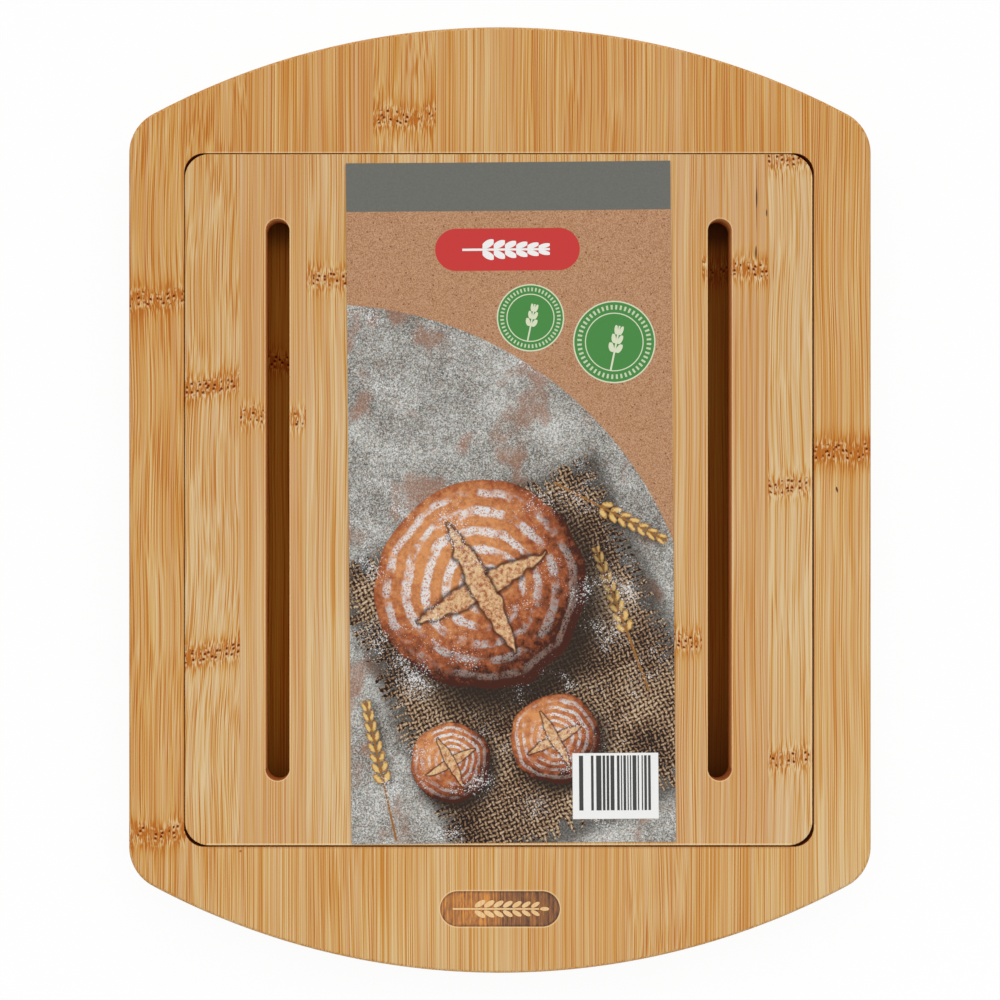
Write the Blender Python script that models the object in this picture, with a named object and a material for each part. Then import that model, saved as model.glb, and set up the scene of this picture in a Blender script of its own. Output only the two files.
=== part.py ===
"""Bread board of laminated bamboo.

A three-ply base with curved ends holds a flush, lift-out cutting board in a pocket. Two long slots in the
cutting board drop crumbs into the shallow recess below it. A printed card lies on the cutting board.

Metres, +Z up, +Y along the board, origin at the middle of the underside.
"""

import math

import bmesh
import bpy

# Outline of the base
BOARD_LENGTH = 0.380
BOARD_WIDTH = 0.298
END_RISE = 0.0402
CORNER_RADIUS = 0.018
EDGE_ROUND = 0.0015

# Plies of the base, from the underside up, and the glue between strips and plies
FLOOR_PLY = 0.007
CORE_PLY = 0.0049
TOP_PLY = 0.0129
GLUE_LINE = 0.0001
FLOOR_STRIPS = 12
RIM_STRIPS = 10

# Pocket in the top ply, and the ledge of the core ply inside it
RAIL_WIDTH = 0.0226
END_RIM = 0.0508
POCKET_CORNER = 0.008
POCKET_SHIFT_X = -0.0004
RAIL_LAP = 0.0008
LEDGE_WIDTH = 0.006

# Lift-out cutting board
INSERT_CLEARANCE = 0.00045
INSERT_PLAY_X = -0.00015
INSERT_PLAY_Y = 0.0001
CORNER_RELIEF = 0.0017
SEAT_GAP = 0.0003
INSERT_EASE = 0.0004
LEFT_STRIP = 0.0222
RIGHT_STRIP = 0.0179
SLOTTED_STRIP = 0.0265
MIDDLE_STRIPS = 6

# Crumb slots
SLOT_WIDTH = 0.0096
SLOT_FROM_SIDE = 0.0372
SLOT_FROM_END = 0.026
SLOT_EASE = 0.0006

# Card lying on the cutting board
CARD_WIDTH = 0.130
CARD_FROM_END = 0.00225
CARD_THICKNESS = 0.0005
CARD_GAP = 0.0003
CARD_SHIFT_X = 0.0049
CARD_SHIFT_Y = -0.0011
CARD_TURN = math.radians(0.49)

# How far blanks and cutters run past what they trim
OVERRUN = 0.003

# Facets of the curved stretches
END_STEPS = 40
CORNER_STEPS = 10
POCKET_STEPS = 10
SLOT_STEPS = 20
ROUND_STEPS = 4

# Worked out from the sizes above
END_RADIUS = ((BOARD_WIDTH / 2) ** 2 + END_RISE**2) / (2 * END_RISE)
CORE_BOTTOM = FLOOR_PLY + GLUE_LINE
CORE_TOP = CORE_BOTTOM + CORE_PLY
TOP_BOTTOM = CORE_TOP + GLUE_LINE
BOARD_TOP = TOP_BOTTOM + TOP_PLY
POCKET_WIDTH = BOARD_WIDTH - 2 * RAIL_WIDTH
POCKET_LENGTH = BOARD_LENGTH - 2 * END_RIM
INSERT_WIDTH = POCKET_WIDTH - 2 * INSERT_CLEARANCE
INSERT_LENGTH = POCKET_LENGTH - 2 * INSERT_CLEARANCE
INSERT_THICKNESS = BOARD_TOP - CORE_TOP - SEAT_GAP
INSERT_CORNER = POCKET_CORNER + CORNER_RELIEF
SLOT_LENGTH = INSERT_LENGTH - 2 * SLOT_FROM_END
CARD_LENGTH = INSERT_LENGTH - 2 * CARD_FROM_END

# Colours, as linear red, green and blue, and the lighter and darker strips as shares of them
RIM_BAMBOO = (0.600, 0.335, 0.130)
INSERT_BAMBOO = (0.640, 0.390, 0.170)
INNER_BAMBOO = (0.520, 0.285, 0.110)
KRAFT_CARD = (0.510, 0.265, 0.140)
TONE_SHARES = (1.0, 0.94, 1.05, 0.97, 1.02, 0.92, 1.06, 0.96, 1.03, 0.98, 1.01, 0.95)
BAMBOO_ROUGHNESS = 0.45
CARD_ROUGHNESS = 0.7


def clear_scene():
    """Removes whatever the new file holds."""
    for old in list(bpy.data.objects):
        bpy.data.objects.remove(old, do_unlink=True)


def finish(name, colour, roughness, tone_share=1.0):
    """A plain material in one colour."""
    made = bpy.data.materials.new(name)
    made.use_nodes = True
    shader = made.node_tree.nodes["Principled BSDF"]
    shader.inputs["Base Color"].default_value = (*(c * tone_share for c in colour), 1.0)
    shader.inputs["Roughness"].default_value = roughness
    shader.inputs["Metallic"].default_value = 0.0
    return made


def frame_point(name, place, parent=None, turn=0.0):
    """An empty that carries the pieces of one moving body."""
    made = bpy.data.objects.new(name, None)
    bpy.context.scene.collection.objects.link(made)
    made.parent = parent
    made.location = place
    made.rotation_euler = (0.0, 0.0, turn)
    return made


def arc(centre, radius, start, end, steps):
    """Points along an arc, both ends included."""
    angles = [start + (end - start) * i / steps for i in range(steps + 1)]
    return [(centre[0] + radius * math.cos(a), centre[1] + radius * math.sin(a)) for a in angles]


def board_outline(inset):
    """The base's edge seen from above, drawn in by inset: bowed ends, straight sides, round corners."""
    bow_y = BOARD_LENGTH / 2 - END_RADIUS
    corner_x = BOARD_WIDTH / 2 - CORNER_RADIUS
    corner_y = bow_y + math.sqrt((END_RADIUS - CORNER_RADIUS) ** 2 - corner_x**2)
    meet = math.atan2(corner_y - bow_y, corner_x)
    corner, bow = CORNER_RADIUS - inset, END_RADIUS - inset
    turn = math.pi
    return (
        arc((corner_x, corner_y), corner, 0, meet, CORNER_STEPS)[:-1]
        + arc((0, bow_y), bow, meet, turn - meet, END_STEPS)[:-1]
        + arc((-corner_x, corner_y), corner, turn - meet, turn, CORNER_STEPS)
        + arc((-corner_x, -corner_y), corner, turn, turn + meet, CORNER_STEPS)[:-1]
        + arc((0, -bow_y), bow, turn + meet, 2 * turn - meet, END_STEPS)[:-1]
        + arc((corner_x, -corner_y), corner, 2 * turn - meet, 2 * turn, CORNER_STEPS)
    )


def rounded_rectangle(width, length, radius, inset=0.0):
    """A rectangle about the origin with round corners, drawn in by inset."""
    points = []
    corners = ((1, 1), (-1, 1), (-1, -1), (1, -1))
    for quarter, (side, end) in enumerate(corners):
        centre = (side * (width / 2 - radius), end * (length / 2 - radius))
        start = quarter * math.pi / 2
        points += arc(centre, radius - inset, start, start + math.pi / 2, POCKET_STEPS)
    return points


def slot_outline(grow):
    """A slot about the origin with full round ends, let out by grow."""
    radius = SLOT_WIDTH / 2 + grow
    end_y = SLOT_LENGTH / 2 - SLOT_WIDTH / 2
    far = arc((0, end_y), radius, 0, math.pi, SLOT_STEPS)
    near = arc((0, -end_y), radius, math.pi, 2 * math.pi, SLOT_STEPS)
    return far + near


def loft(name, rings):
    """A closed mesh through level rings of (height, points), from the lowest up."""
    shape = bmesh.new()
    loops = [[shape.verts.new((x, y, height)) for x, y in points] for height, points in rings]
    shape.faces.new(reversed(loops[0]))
    for below, above in zip(loops, loops[1:]):
        for i in range(len(below)):
            j = (i + 1) % len(below)
            shape.faces.new((below[i], below[j], above[j], above[i]))
    shape.faces.new(loops[-1])
    mesh = bpy.data.meshes.new(name)
    shape.to_mesh(mesh)
    shape.free()
    return mesh


def add_object(name, mesh, place, parent, material=None):
    """Puts a mesh in the scene under its parent."""
    made = bpy.data.objects.new(name, mesh)
    bpy.context.scene.collection.objects.link(made)
    made.parent = parent
    made.location = place
    if material:
        mesh.materials.append(material)
    return made


def add_cutter(name, rings, parent):
    """A shape that only trims or cuts others."""
    made = add_object(name, loft(name, rings), (0, 0, 0), parent)
    made.hide_render = True
    made.display_type = "WIRE"
    return made


def trim(piece, cutter, operation):
    """Trims or cuts a piece by a cutter."""
    cut = piece.modifiers.new(cutter.name, "BOOLEAN")
    cut.operation = operation
    cut.object = cutter
    cut.solver = "EXACT"


def add_strip(name, x_range, y_range, z_range, parent, material):
    """A plain strip of bamboo between two places along each axis, its origin at its middle."""
    middle = [(low + high) / 2 for low, high in (x_range, y_range, z_range)]
    half_x, half_y, half_z = ((high - low) / 2 for low, high in (x_range, y_range, z_range))
    corners = [(-half_x, -half_y), (half_x, -half_y), (half_x, half_y), (-half_x, half_y)]
    mesh = loft(name, [(-half_z, corners), (half_z, corners)])
    return add_object(name, mesh, middle, parent, material)


def strip_edges(low, high, count):
    """Where equal strips meet between two edges, both edges included."""
    return [low + (high - low) * i / count for i in range(count + 1)]


def between_joints(edges):
    """The strips between neighbouring joints, each drawn back by half a glue line at a joint."""
    spans = []
    for i, (left, right) in enumerate(zip(edges, edges[1:])):
        low = left if i == 0 else left + GLUE_LINE / 2
        high = right if i == len(edges) - 2 else right - GLUE_LINE / 2
        spans.append((low, high))
    return spans


def board_blank(parent):
    """The whole base as one closed block with rounded upper and lower edges, which trims every strip."""
    angles = [math.pi / 2 * i / ROUND_STEPS for i in range(ROUND_STEPS + 1)]
    insets = [EDGE_ROUND * (1 - math.sin(a)) for a in angles]
    rises = [EDGE_ROUND * (1 - math.cos(a)) for a in angles]
    lower = [(rise, board_outline(inset)) for rise, inset in zip(rises, insets)]
    upper = [(BOARD_TOP - rise, points) for rise, points in reversed(lower)]
    return add_cutter("board_blank", lower + upper, parent)


def pocket_cutter(parent):
    """The pocket that the cutting board sits in, through the top ply."""
    points = rounded_rectangle(POCKET_WIDTH, POCKET_LENGTH, POCKET_CORNER)
    rings = [(TOP_BOTTOM - OVERRUN, points), (BOARD_TOP + OVERRUN, points)]
    made = add_cutter("pocket_cutter", rings, parent)
    made.location.x = POCKET_SHIFT_X
    return made


def slot_cutter(name, place_x, parent):
    """One crumb slot with eased edges at both faces of the cutting board."""
    out = SLOT_EASE + OVERRUN
    rings = [
        (-OVERRUN, slot_outline(out)),
        (SLOT_EASE, slot_outline(0)),
        (INSERT_THICKNESS - SLOT_EASE, slot_outline(0)),
        (INSERT_THICKNESS + OVERRUN, slot_outline(out)),
    ]
    made = add_cutter(name, rings, parent)
    made.location.x = place_x
    return made


def build_floor(base, blank):
    """The lowest ply: strips side by side, the floor of the crumb recess."""
    half = BOARD_WIDTH / 2 + OVERRUN
    reach = BOARD_LENGTH / 2 + OVERRUN
    edges = strip_edges(-BOARD_WIDTH / 2, BOARD_WIDTH / 2, FLOOR_STRIPS)
    edges[0], edges[-1] = -half, half
    for i, span in enumerate(between_joints(edges)):
        name = f"floor_strip_{i + 1:02d}"
        bamboo = finish(name, INNER_BAMBOO, BAMBOO_ROUGHNESS, TONE_SHARES[i % len(TONE_SHARES)])
        strip = add_strip(name, span, (-reach, reach), (-OVERRUN, FLOOR_PLY), base, bamboo)
        trim(strip, blank, "INTERSECT")


def build_core(base, blank):
    """The middle ply: a frame of two rails and two ends, whose inner edge carries the cutting board."""
    half = BOARD_WIDTH / 2 + OVERRUN
    reach = BOARD_LENGTH / 2 + OVERRUN
    open_left = POCKET_SHIFT_X - POCKET_WIDTH / 2 + LEDGE_WIDTH
    open_right = POCKET_SHIFT_X + POCKET_WIDTH / 2 - LEDGE_WIDTH
    open_y = POCKET_LENGTH / 2 - LEDGE_WIDTH
    inner = (open_left + GLUE_LINE, open_right - GLUE_LINE)
    pieces = {
        "core_rail_left": ((-half, open_left), (-reach, reach)),
        "core_rail_right": ((open_right, half), (-reach, reach)),
        "core_end_far": (inner, (open_y, reach)),
        "core_end_near": (inner, (-reach, -open_y)),
    }
    for i, (name, (x_range, y_range)) in enumerate(pieces.items()):
        bamboo = finish(name, INNER_BAMBOO, BAMBOO_ROUGHNESS, TONE_SHARES[i])
        piece = add_strip(name, x_range, y_range, (CORE_BOTTOM, CORE_TOP), base, bamboo)
        trim(piece, blank, "INTERSECT")


def build_rim(base, blank):
    """The top ply: a full-length rail on each side, and strips beyond both ends of the pocket."""
    half = BOARD_WIDTH / 2 + OVERRUN
    reach = BOARD_LENGTH / 2 + OVERRUN
    levels = (TOP_BOTTOM, BOARD_TOP + OVERRUN)
    pocket = pocket_cutter(base)
    left = POCKET_SHIFT_X - POCKET_WIDTH / 2
    right = POCKET_SHIFT_X + POCKET_WIDTH / 2
    edges = strip_edges(left, right, RIM_STRIPS)
    edges[0] += RAIL_LAP
    edges[-1] -= RAIL_LAP
    rails = {
        "rim_rail_left": (-half, edges[0] - GLUE_LINE / 2),
        "rim_rail_right": (edges[-1] + GLUE_LINE / 2, half),
    }
    for i, (name, span) in enumerate(rails.items()):
        bamboo = finish(name, RIM_BAMBOO, BAMBOO_ROUGHNESS, TONE_SHARES[i])
        rail = add_strip(name, span, (-reach, reach), levels, base, bamboo)
        trim(rail, blank, "INTERSECT")
        trim(rail, pocket, "DIFFERENCE")
    start_y = POCKET_LENGTH / 2 - POCKET_CORNER - OVERRUN
    ends = {"far": (start_y, reach), "near": (-reach, -start_y)}
    for i, (low, high) in enumerate(zip(edges, edges[1:])):
        span = (low + GLUE_LINE / 2, high - GLUE_LINE / 2)
        tone_share = TONE_SHARES[(i + 2) % len(TONE_SHARES)]
        for end, y_range in ends.items():
            name = f"rim_{end}_{i + 1:02d}"
            bamboo = finish(name, RIM_BAMBOO, BAMBOO_ROUGHNESS, tone_share)
            strip = add_strip(name, span, y_range, levels, base, bamboo)
            trim(strip, blank, "INTERSECT")
            trim(strip, pocket, "DIFFERENCE")


def insert_blank(insert):
    """The whole cutting board as one closed block with eased edges, which trims its strips."""
    size = (INSERT_WIDTH, INSERT_LENGTH, INSERT_CORNER)
    face, side = rounded_rectangle(*size, INSERT_EASE), rounded_rectangle(*size)
    rings = [(0, face), (INSERT_EASE, side), (INSERT_THICKNESS - INSERT_EASE, side), (INSERT_THICKNESS, face)]
    return add_cutter("insert_blank", rings, insert)


def build_insert(base):
    """The lift-out cutting board: strips side by side, with a crumb slot in the second strip of each side."""
    seat = (POCKET_SHIFT_X + INSERT_PLAY_X, INSERT_PLAY_Y, CORE_TOP + SEAT_GAP)
    insert = frame_point("insert_lift", seat, base)
    blank = insert_blank(insert)
    left, right = -INSERT_WIDTH / 2, INSERT_WIDTH / 2
    slots = {
        1: slot_cutter("left_slot_cutter", left + SLOT_FROM_SIDE, insert),
        -2: slot_cutter("right_slot_cutter", right - SLOT_FROM_SIDE, insert),
    }
    joints = (left + LEFT_STRIP, right - RIGHT_STRIP)
    middle = strip_edges(joints[0] + SLOTTED_STRIP, joints[1] - SLOTTED_STRIP, MIDDLE_STRIPS)
    edges = [left - OVERRUN, joints[0], *middle, joints[1], right + OVERRUN]
    reach = INSERT_LENGTH / 2 + OVERRUN
    strips = []
    for i, span in enumerate(between_joints(edges)):
        name = f"insert_strip_{i + 1:02d}"
        bamboo = finish(name, INSERT_BAMBOO, BAMBOO_ROUGHNESS, TONE_SHARES[(i + 5) % len(TONE_SHARES)])
        levels = (-OVERRUN, INSERT_THICKNESS + OVERRUN)
        strip = add_strip(name, span, (-reach, reach), levels, insert, bamboo)
        trim(strip, blank, "INTERSECT")
        strips.append(strip)
    for place, cutter in slots.items():
        trim(strips[place], cutter, "DIFFERENCE")
    return insert


def build_card(insert):
    """The printed card that lies loose on the cutting board, a little off centre and slightly turned."""
    lie = (CARD_SHIFT_X, CARD_SHIFT_Y, INSERT_THICKNESS + CARD_GAP)
    card = frame_point("card_lift", lie, insert, CARD_TURN)
    half_width, half_length = CARD_WIDTH / 2, CARD_LENGTH / 2
    board = finish("label_card", KRAFT_CARD, CARD_ROUGHNESS)
    x_range, y_range = (-half_width, half_width), (-half_length, half_length)
    add_strip("label_card", x_range, y_range, (0, CARD_THICKNESS), card, board)


def main():
    clear_scene()
    base = frame_point("base", (0, 0, 0))
    blank = board_blank(base)
    build_floor(base, blank)
    build_core(base, blank)
    build_rim(base, blank)
    insert = build_insert(base)
    build_card(insert)


main()
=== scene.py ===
# %% [markdown]
# # A laminated bamboo bread board
#
# The board has a base with bowed ends, a cutting board that lifts out of a pocket in that base, and
# a printed card lying on top. The measured model is loaded first and stays as it is: it says where
# every piece lies and what moves. Everything below dresses it, in metres, in the same place, with
# +Z up and +Y along the board.

# %% Load the measured model
import math
from collections import namedtuple
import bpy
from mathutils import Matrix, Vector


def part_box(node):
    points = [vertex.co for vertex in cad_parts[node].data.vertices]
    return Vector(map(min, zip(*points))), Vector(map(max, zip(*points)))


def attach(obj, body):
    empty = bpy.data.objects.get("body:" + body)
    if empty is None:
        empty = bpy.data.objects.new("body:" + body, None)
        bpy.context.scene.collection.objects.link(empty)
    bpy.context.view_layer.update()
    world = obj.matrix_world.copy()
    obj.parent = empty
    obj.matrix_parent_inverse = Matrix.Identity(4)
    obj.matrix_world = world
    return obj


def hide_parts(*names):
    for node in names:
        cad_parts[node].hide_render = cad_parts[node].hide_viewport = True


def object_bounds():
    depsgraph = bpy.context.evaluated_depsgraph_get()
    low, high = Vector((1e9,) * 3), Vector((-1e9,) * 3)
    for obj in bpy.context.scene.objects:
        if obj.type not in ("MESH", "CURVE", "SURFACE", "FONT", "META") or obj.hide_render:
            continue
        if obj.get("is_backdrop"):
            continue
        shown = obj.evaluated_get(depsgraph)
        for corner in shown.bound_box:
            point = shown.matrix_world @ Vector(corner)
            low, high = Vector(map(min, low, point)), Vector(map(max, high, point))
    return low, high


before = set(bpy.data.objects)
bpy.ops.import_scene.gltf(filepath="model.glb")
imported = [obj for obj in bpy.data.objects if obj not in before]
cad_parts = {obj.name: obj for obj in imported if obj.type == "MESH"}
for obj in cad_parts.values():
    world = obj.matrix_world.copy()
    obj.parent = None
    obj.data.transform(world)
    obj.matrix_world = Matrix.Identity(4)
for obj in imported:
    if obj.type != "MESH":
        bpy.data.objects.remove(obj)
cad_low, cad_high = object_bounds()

from types import SimpleNamespace

import bmesh
import bpy
from mathutils import Vector

MM = 0.001
BOARD_WIDTH, BOARD_LENGTH, BOARD_HEIGHT = cad_high - cad_low
board_size = " x ".join(f"{side / MM:.1f}" for side in (BOARD_WIDTH, BOARD_LENGTH, BOARD_HEIGHT))
print(f"the board measures {board_size} mm with its card, in {len(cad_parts)} nodes")

# %% [markdown]
# ## The camera
#
# The photograph looks straight down, a little left of the middle. A lens shift moves the picture
# back over the board without turning the camera, so the ends stay square. The lens is worked out
# from the width that the picture shows at the level of the cutting face.

# %% Set up the camera
PICTURE_WIDTH = 401.3 * MM      # what the 1000 pixels of the picture show at the cutting face
PICTURE_PIXELS = 1000
FACE_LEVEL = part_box("rim_rail_left")[1].z
CAMERA_RISE = 0.9
CAMERA_FOOT = (-20.1 * MM, -11.3 * MM)
SENSOR = 36.0

camera_data = bpy.data.cameras.new("camera")
camera = bpy.data.objects.new("camera", camera_data)
bpy.context.scene.collection.objects.link(camera)
camera.location = (*CAMERA_FOOT, FACE_LEVEL + CAMERA_RISE)
camera_data.sensor_width = SENSOR
camera_data.lens = SENSOR * CAMERA_RISE / PICTURE_WIDTH
camera_data.shift_x, camera_data.shift_y = [-foot / PICTURE_WIDTH for foot in CAMERA_FOOT]
bpy.context.scene.camera = camera
print(f"lens {camera_data.lens:.1f} mm, {PICTURE_WIDTH / MM / PICTURE_PIXELS:.4f} mm to a pixel")

# %% [markdown]
# ## Shader maths as plain expressions
#
# A material here is a net of small nodes. Written out by hand, a formula such as `1 - mask * 0.5`
# takes several lines for each node. A small class that wraps a socket and answers to `+`, `-`, `*`
# and `/` lets the formula be written as a formula, and each sign adds its Math node. The methods
# differ only in their operation, so a table lists them and a loop gives them to the class.


# %% A socket that can be calculated with
class Wire:
    """An output of a node. Sums with it add Math nodes to its tree."""

    def __init__(self, bench, socket):
        self.bench, self.socket = bench, socket

    def math(self, operation, *values):
        return self.bench.node("ShaderNodeMath", {"operation": operation}, dict(enumerate(values)))

    def __neg__(self):
        return self * -1.0

    def rise(self, start, end):
        """0 up to start and 1 from end on, with a smooth climb between. Falls where end is smaller."""
        limits = {"Value": self, "From Min": start, "From Max": end}
        return self.bench.node("ShaderNodeMapRange", {"interpolation_type": "SMOOTHSTEP"}, limits)


def operation_method(operation, reflected=False):
    """A method that adds the Math node of one operation."""
    def method(wire, *others):
        values = (wire, *others)
        return wire.math(operation, *(reversed(values) if reflected else values))
    return method


OPERATIONS = {
    "__add__": "ADD", "__sub__": "SUBTRACT", "__mul__": "MULTIPLY", "__truediv__": "DIVIDE",
    "__pow__": "POWER", "__lt__": "LESS_THAN", "__gt__": "GREATER_THAN", "__abs__": "ABSOLUTE",
    "low": "MINIMUM", "high": "MAXIMUM", "whole": "FLOOR", "part": "FRACT", "sine": "SINE",
    "root": "SQRT",
}
REFLECTED = {"__radd__": "ADD", "__rsub__": "SUBTRACT", "__rmul__": "MULTIPLY"}
for name, operation in OPERATIONS.items():
    setattr(Wire, name, operation_method(operation))
for name, operation in REFLECTED.items():
    setattr(Wire, name, operation_method(operation, reflected=True))
print(f"a wire answers to {len(OPERATIONS) + len(REFLECTED)} signs and words")

# %% [markdown]
# One method adds every other kind of node: it takes the node's type, then its settings, then what
# goes into its sockets. Settings come first, because some of them change which sockets a node has.
# In the recipes below, b is the bench of a material, and x, y, z, u and v are in millimetres.


# %% One material and its nodes
class Bench:
    """The node tree of one material."""

    def __init__(self, name):
        self.material = bpy.data.materials.new(name)
        self.material.use_nodes = True
        self.tree = self.material.node_tree
        self.tree.nodes.clear()
        self.end = self.tree.nodes.new("ShaderNodeOutputMaterial")

    def node(self, kind, settings=None, inputs=None, output=0):
        """Adds a node and gives one of its outputs."""
        made = self.tree.nodes.new(kind)
        for setting, value in (settings or {}).items():
            if setting == "stops":
                set_stops(made.color_ramp, value)
            else:
                setattr(made, setting, value)
        for key, value in (inputs or {}).items():
            target = find_socket(made.inputs, key)
            for part in value if isinstance(value, list) else [value]:
                if isinstance(part, Wire):
                    self.tree.links.new(part.socket, target)
                else:
                    target.default_value = part
        return Wire(self, find_socket(made.outputs, output))

    def vector(self, x=0.0, y=0.0, z=0.0):
        return self.node("ShaderNodeCombineXYZ", inputs={"X": x, "Y": y, "Z": z})

    def split(self, vector):
        """The three parts of a vector."""
        parts = self.node("ShaderNodeSeparateXYZ", inputs={"Vector": vector})
        return [Wire(self, socket) for socket in parts.socket.node.outputs]

    def attribute(self, name):
        """The three numbers that the mesh's faces hold under a name."""
        return self.split(self.node("ShaderNodeAttribute", {"attribute_name": name}, output="Vector"))

    def place(self):
        """Where a point of the surface lies, in millimetres."""
        here = self.node("ShaderNodeTexCoord", output="Object")
        return [part / MM for part in self.split(here)]

    def noise(self, x, y, z=0.0, detail=0.0, roughness=0.5):
        """Smooth noise between 0 and 1, about 0.5, that changes over one unit of each coordinate."""
        inputs = {"Vector": self.vector(x, y, z), "Scale": 1.0, "Detail": detail, "Roughness": roughness}
        return self.node("ShaderNodeTexNoise", inputs=inputs, output="Fac")

    def cells(self, x, y, z=0.0, randomness=1.0):
        """How far the nearest of many scattered points is, one point to each unit of space."""
        inputs = {"Vector": self.vector(x, y, z), "Scale": 1.0, "Randomness": randomness}
        settings = {"voronoi_dimensions": "2D" if z == 0.0 else "3D", "feature": "F1"}
        return self.node("ShaderNodeTexVoronoi", settings, inputs, "Distance")

    def mix(self, factor, below, above, blend="MIX"):
        """One colour laid over another."""
        settings = {"data_type": "RGBA", "blend_type": blend, "clamp_factor": True}
        inputs = {"Factor_Float": factor, "A_Color": below, "B_Color": above}
        return self.node("ShaderNodeMix", settings, inputs, "Result_Color")

    def surface(self, colour, roughness, height, height_scale, **constants):
        """The finished surface: a Principled shader with a bump."""
        bump = {"Strength": 1.0, "Distance": height_scale, "Height": height}
        normal = self.node("ShaderNodeBump", inputs=bump, output="Normal")
        inputs = {"Base Color": colour, "Roughness": roughness, "Normal": normal, **constants}
        shader = self.node("ShaderNodeBsdfPrincipled", inputs=inputs)
        self.tree.links.new(shader.socket, self.end.inputs["Surface"])
        return self.material


def find_socket(sockets, key):
    """A socket by its number, its identifier or its name."""
    if isinstance(key, int):
        return sockets[key]
    named = [s for s in sockets if key in (s.identifier, s.name) and s.enabled]
    return named[0]


def set_stops(ramp, stops):
    """Fills a colour ramp with stops of (position, colour)."""
    while len(ramp.elements) > 1:
        ramp.elements.remove(ramp.elements[-1])
    ramp.elements[0].position, ramp.elements[0].color = stops[0]
    for position, colour in stops[1:]:
        ramp.elements.new(position).color = colour


def paint(red, green, blue):
    """A colour as a screen shows it, from 0 to 255, turned by the sRGB curve into linear light."""
    shares = [value / 255 for value in (red, green, blue)]
    return (*(s / 12.92 if s <= 0.04045 else ((s + 0.055) / 1.055) ** 2.4 for s in shares), 1.0)


print(f"a grey of 128 out of 255 on the screen is {paint(128, 128, 128)[0]:.3f} of white's light")

# %% [markdown]
# ## Light and floor
#
# The board stands in plain soft studio light. The main lamp is broad, and it stands high and
# towards the far end, so the far ends of the slots are dark and their near ends catch light. The
# sky fills in the rest, and a small lamp beyond the near end makes that end a touch brighter.
# Together they light a level surface so that a colour shows about as it is written. The main lamp
# is a sun with a wide disc, because a sun lights both ends of the board alike, where a large lamp
# in the room would fade from one end to the other.

# %% Light the board
KEY_RISE = math.radians(65)
KEY_SIDE = math.radians(6)
KEY_SPREAD = math.radians(90)
SKY_LIGHT = 0.36                # what the sky alone gives to a level white surface
FILL_LIGHT = 0.045              # what the small lamp gives at the near end
FILL_PLACE = Vector((0.10, -0.55, 0.50))
FILL_SIZE = 0.4
KEY_LIGHT = 1 - SKY_LIGHT - FILL_LIGHT / 2


def add_lamp(name, kind, towards):
    """A lamp that shines from the direction of towards."""
    lamp = bpy.data.objects.new(name, bpy.data.lights.new(name, kind))
    bpy.context.scene.collection.objects.link(lamp)
    lamp.rotation_mode = "QUATERNION"
    lamp.rotation_quaternion = towards.to_track_quat("Z", "Y")
    return lamp


flat = math.cos(KEY_RISE)
towards_key = Vector((math.sin(KEY_SIDE) * flat, math.cos(KEY_SIDE) * flat, math.sin(KEY_RISE)))
key = add_lamp("key", "SUN", towards_key)
key.data.angle = KEY_SPREAD
key.data.energy = KEY_LIGHT * math.pi / math.sin(KEY_RISE)

towards_fill = FILL_PLACE - Vector((0.0, -BOARD_LENGTH / 2, 0.0))
fill = add_lamp("fill", "AREA", towards_fill)
fill.location = FILL_PLACE
fill.data.size = FILL_SIZE
fill_share = FILL_LIGHT * math.pi**2 / towards_fill.normalized().z
fill.data.energy = fill_share * towards_fill.length_squared
bpy.context.scene.view_settings.view_transform = "Standard"
print(f"main lamp {KEY_LIGHT:.3f}, sky {SKY_LIGHT:.2f} and near lamp {FILL_LIGHT:.3f} of the light")

# %% [markdown]
# The background is white because the world and the floor are white to the camera, not because more
# light falls on the board. Light Path tells which rays come from the camera, and those that a
# glossy surface sends out see the same white. On the floor the white is mixed with what the lamps
# really give, so the board keeps a faint shadow.

# %% Make the sky and the floor
FLOOR_REACH = 3.0
FLOOR_LEVEL = -0.05 * MM        # a hair below the board, so that two faces never lie in one plane
FLOOR_GREY = 0.9
FLOOR_WHITE_SHARE = 0.93


def seen_directly(bench):
    """1 for rays that show the background, 0 for rays that carry light."""
    kinds = ("Is Camera Ray", "Is Glossy Ray", "Is Transmission Ray")
    camera_ray, glossy, passing = [bench.node("ShaderNodeLightPath", output=kind) for kind in kinds]
    return camera_ray.high(glossy).high(passing)


class Sky(Bench):
    """The world's node tree, worked on like a material's."""

    def __init__(self, world):
        world.use_nodes = True
        self.tree = world.node_tree
        self.tree.nodes.clear()
        self.end = self.tree.nodes.new("ShaderNodeOutputWorld")


world = bpy.data.worlds.new("sky")
bpy.context.scene.world = world
sky = Sky(world)
strength = SKY_LIGHT + seen_directly(sky) * (1 - SKY_LIGHT)
background = sky.node("ShaderNodeBackground", inputs={"Color": (1, 1, 1, 1), "Strength": strength})
sky.tree.links.new(background.socket, sky.end.inputs["Surface"])

floor_bench = Bench("floor white")
floor_colour = (FLOOR_GREY, FLOOR_GREY, FLOOR_GREY, 1)
lit = floor_bench.node("ShaderNodeBsdfDiffuse", inputs={"Color": floor_colour})
white = floor_bench.node("ShaderNodeEmission", inputs={"Color": (1, 1, 1, 1), "Strength": 1.0})
share = seen_directly(floor_bench) * FLOOR_WHITE_SHARE
both = floor_bench.node("ShaderNodeMixShader", inputs={0: share, 1: lit, 2: white})
floor_bench.tree.links.new(both.socket, floor_bench.end.inputs["Surface"])

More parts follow.
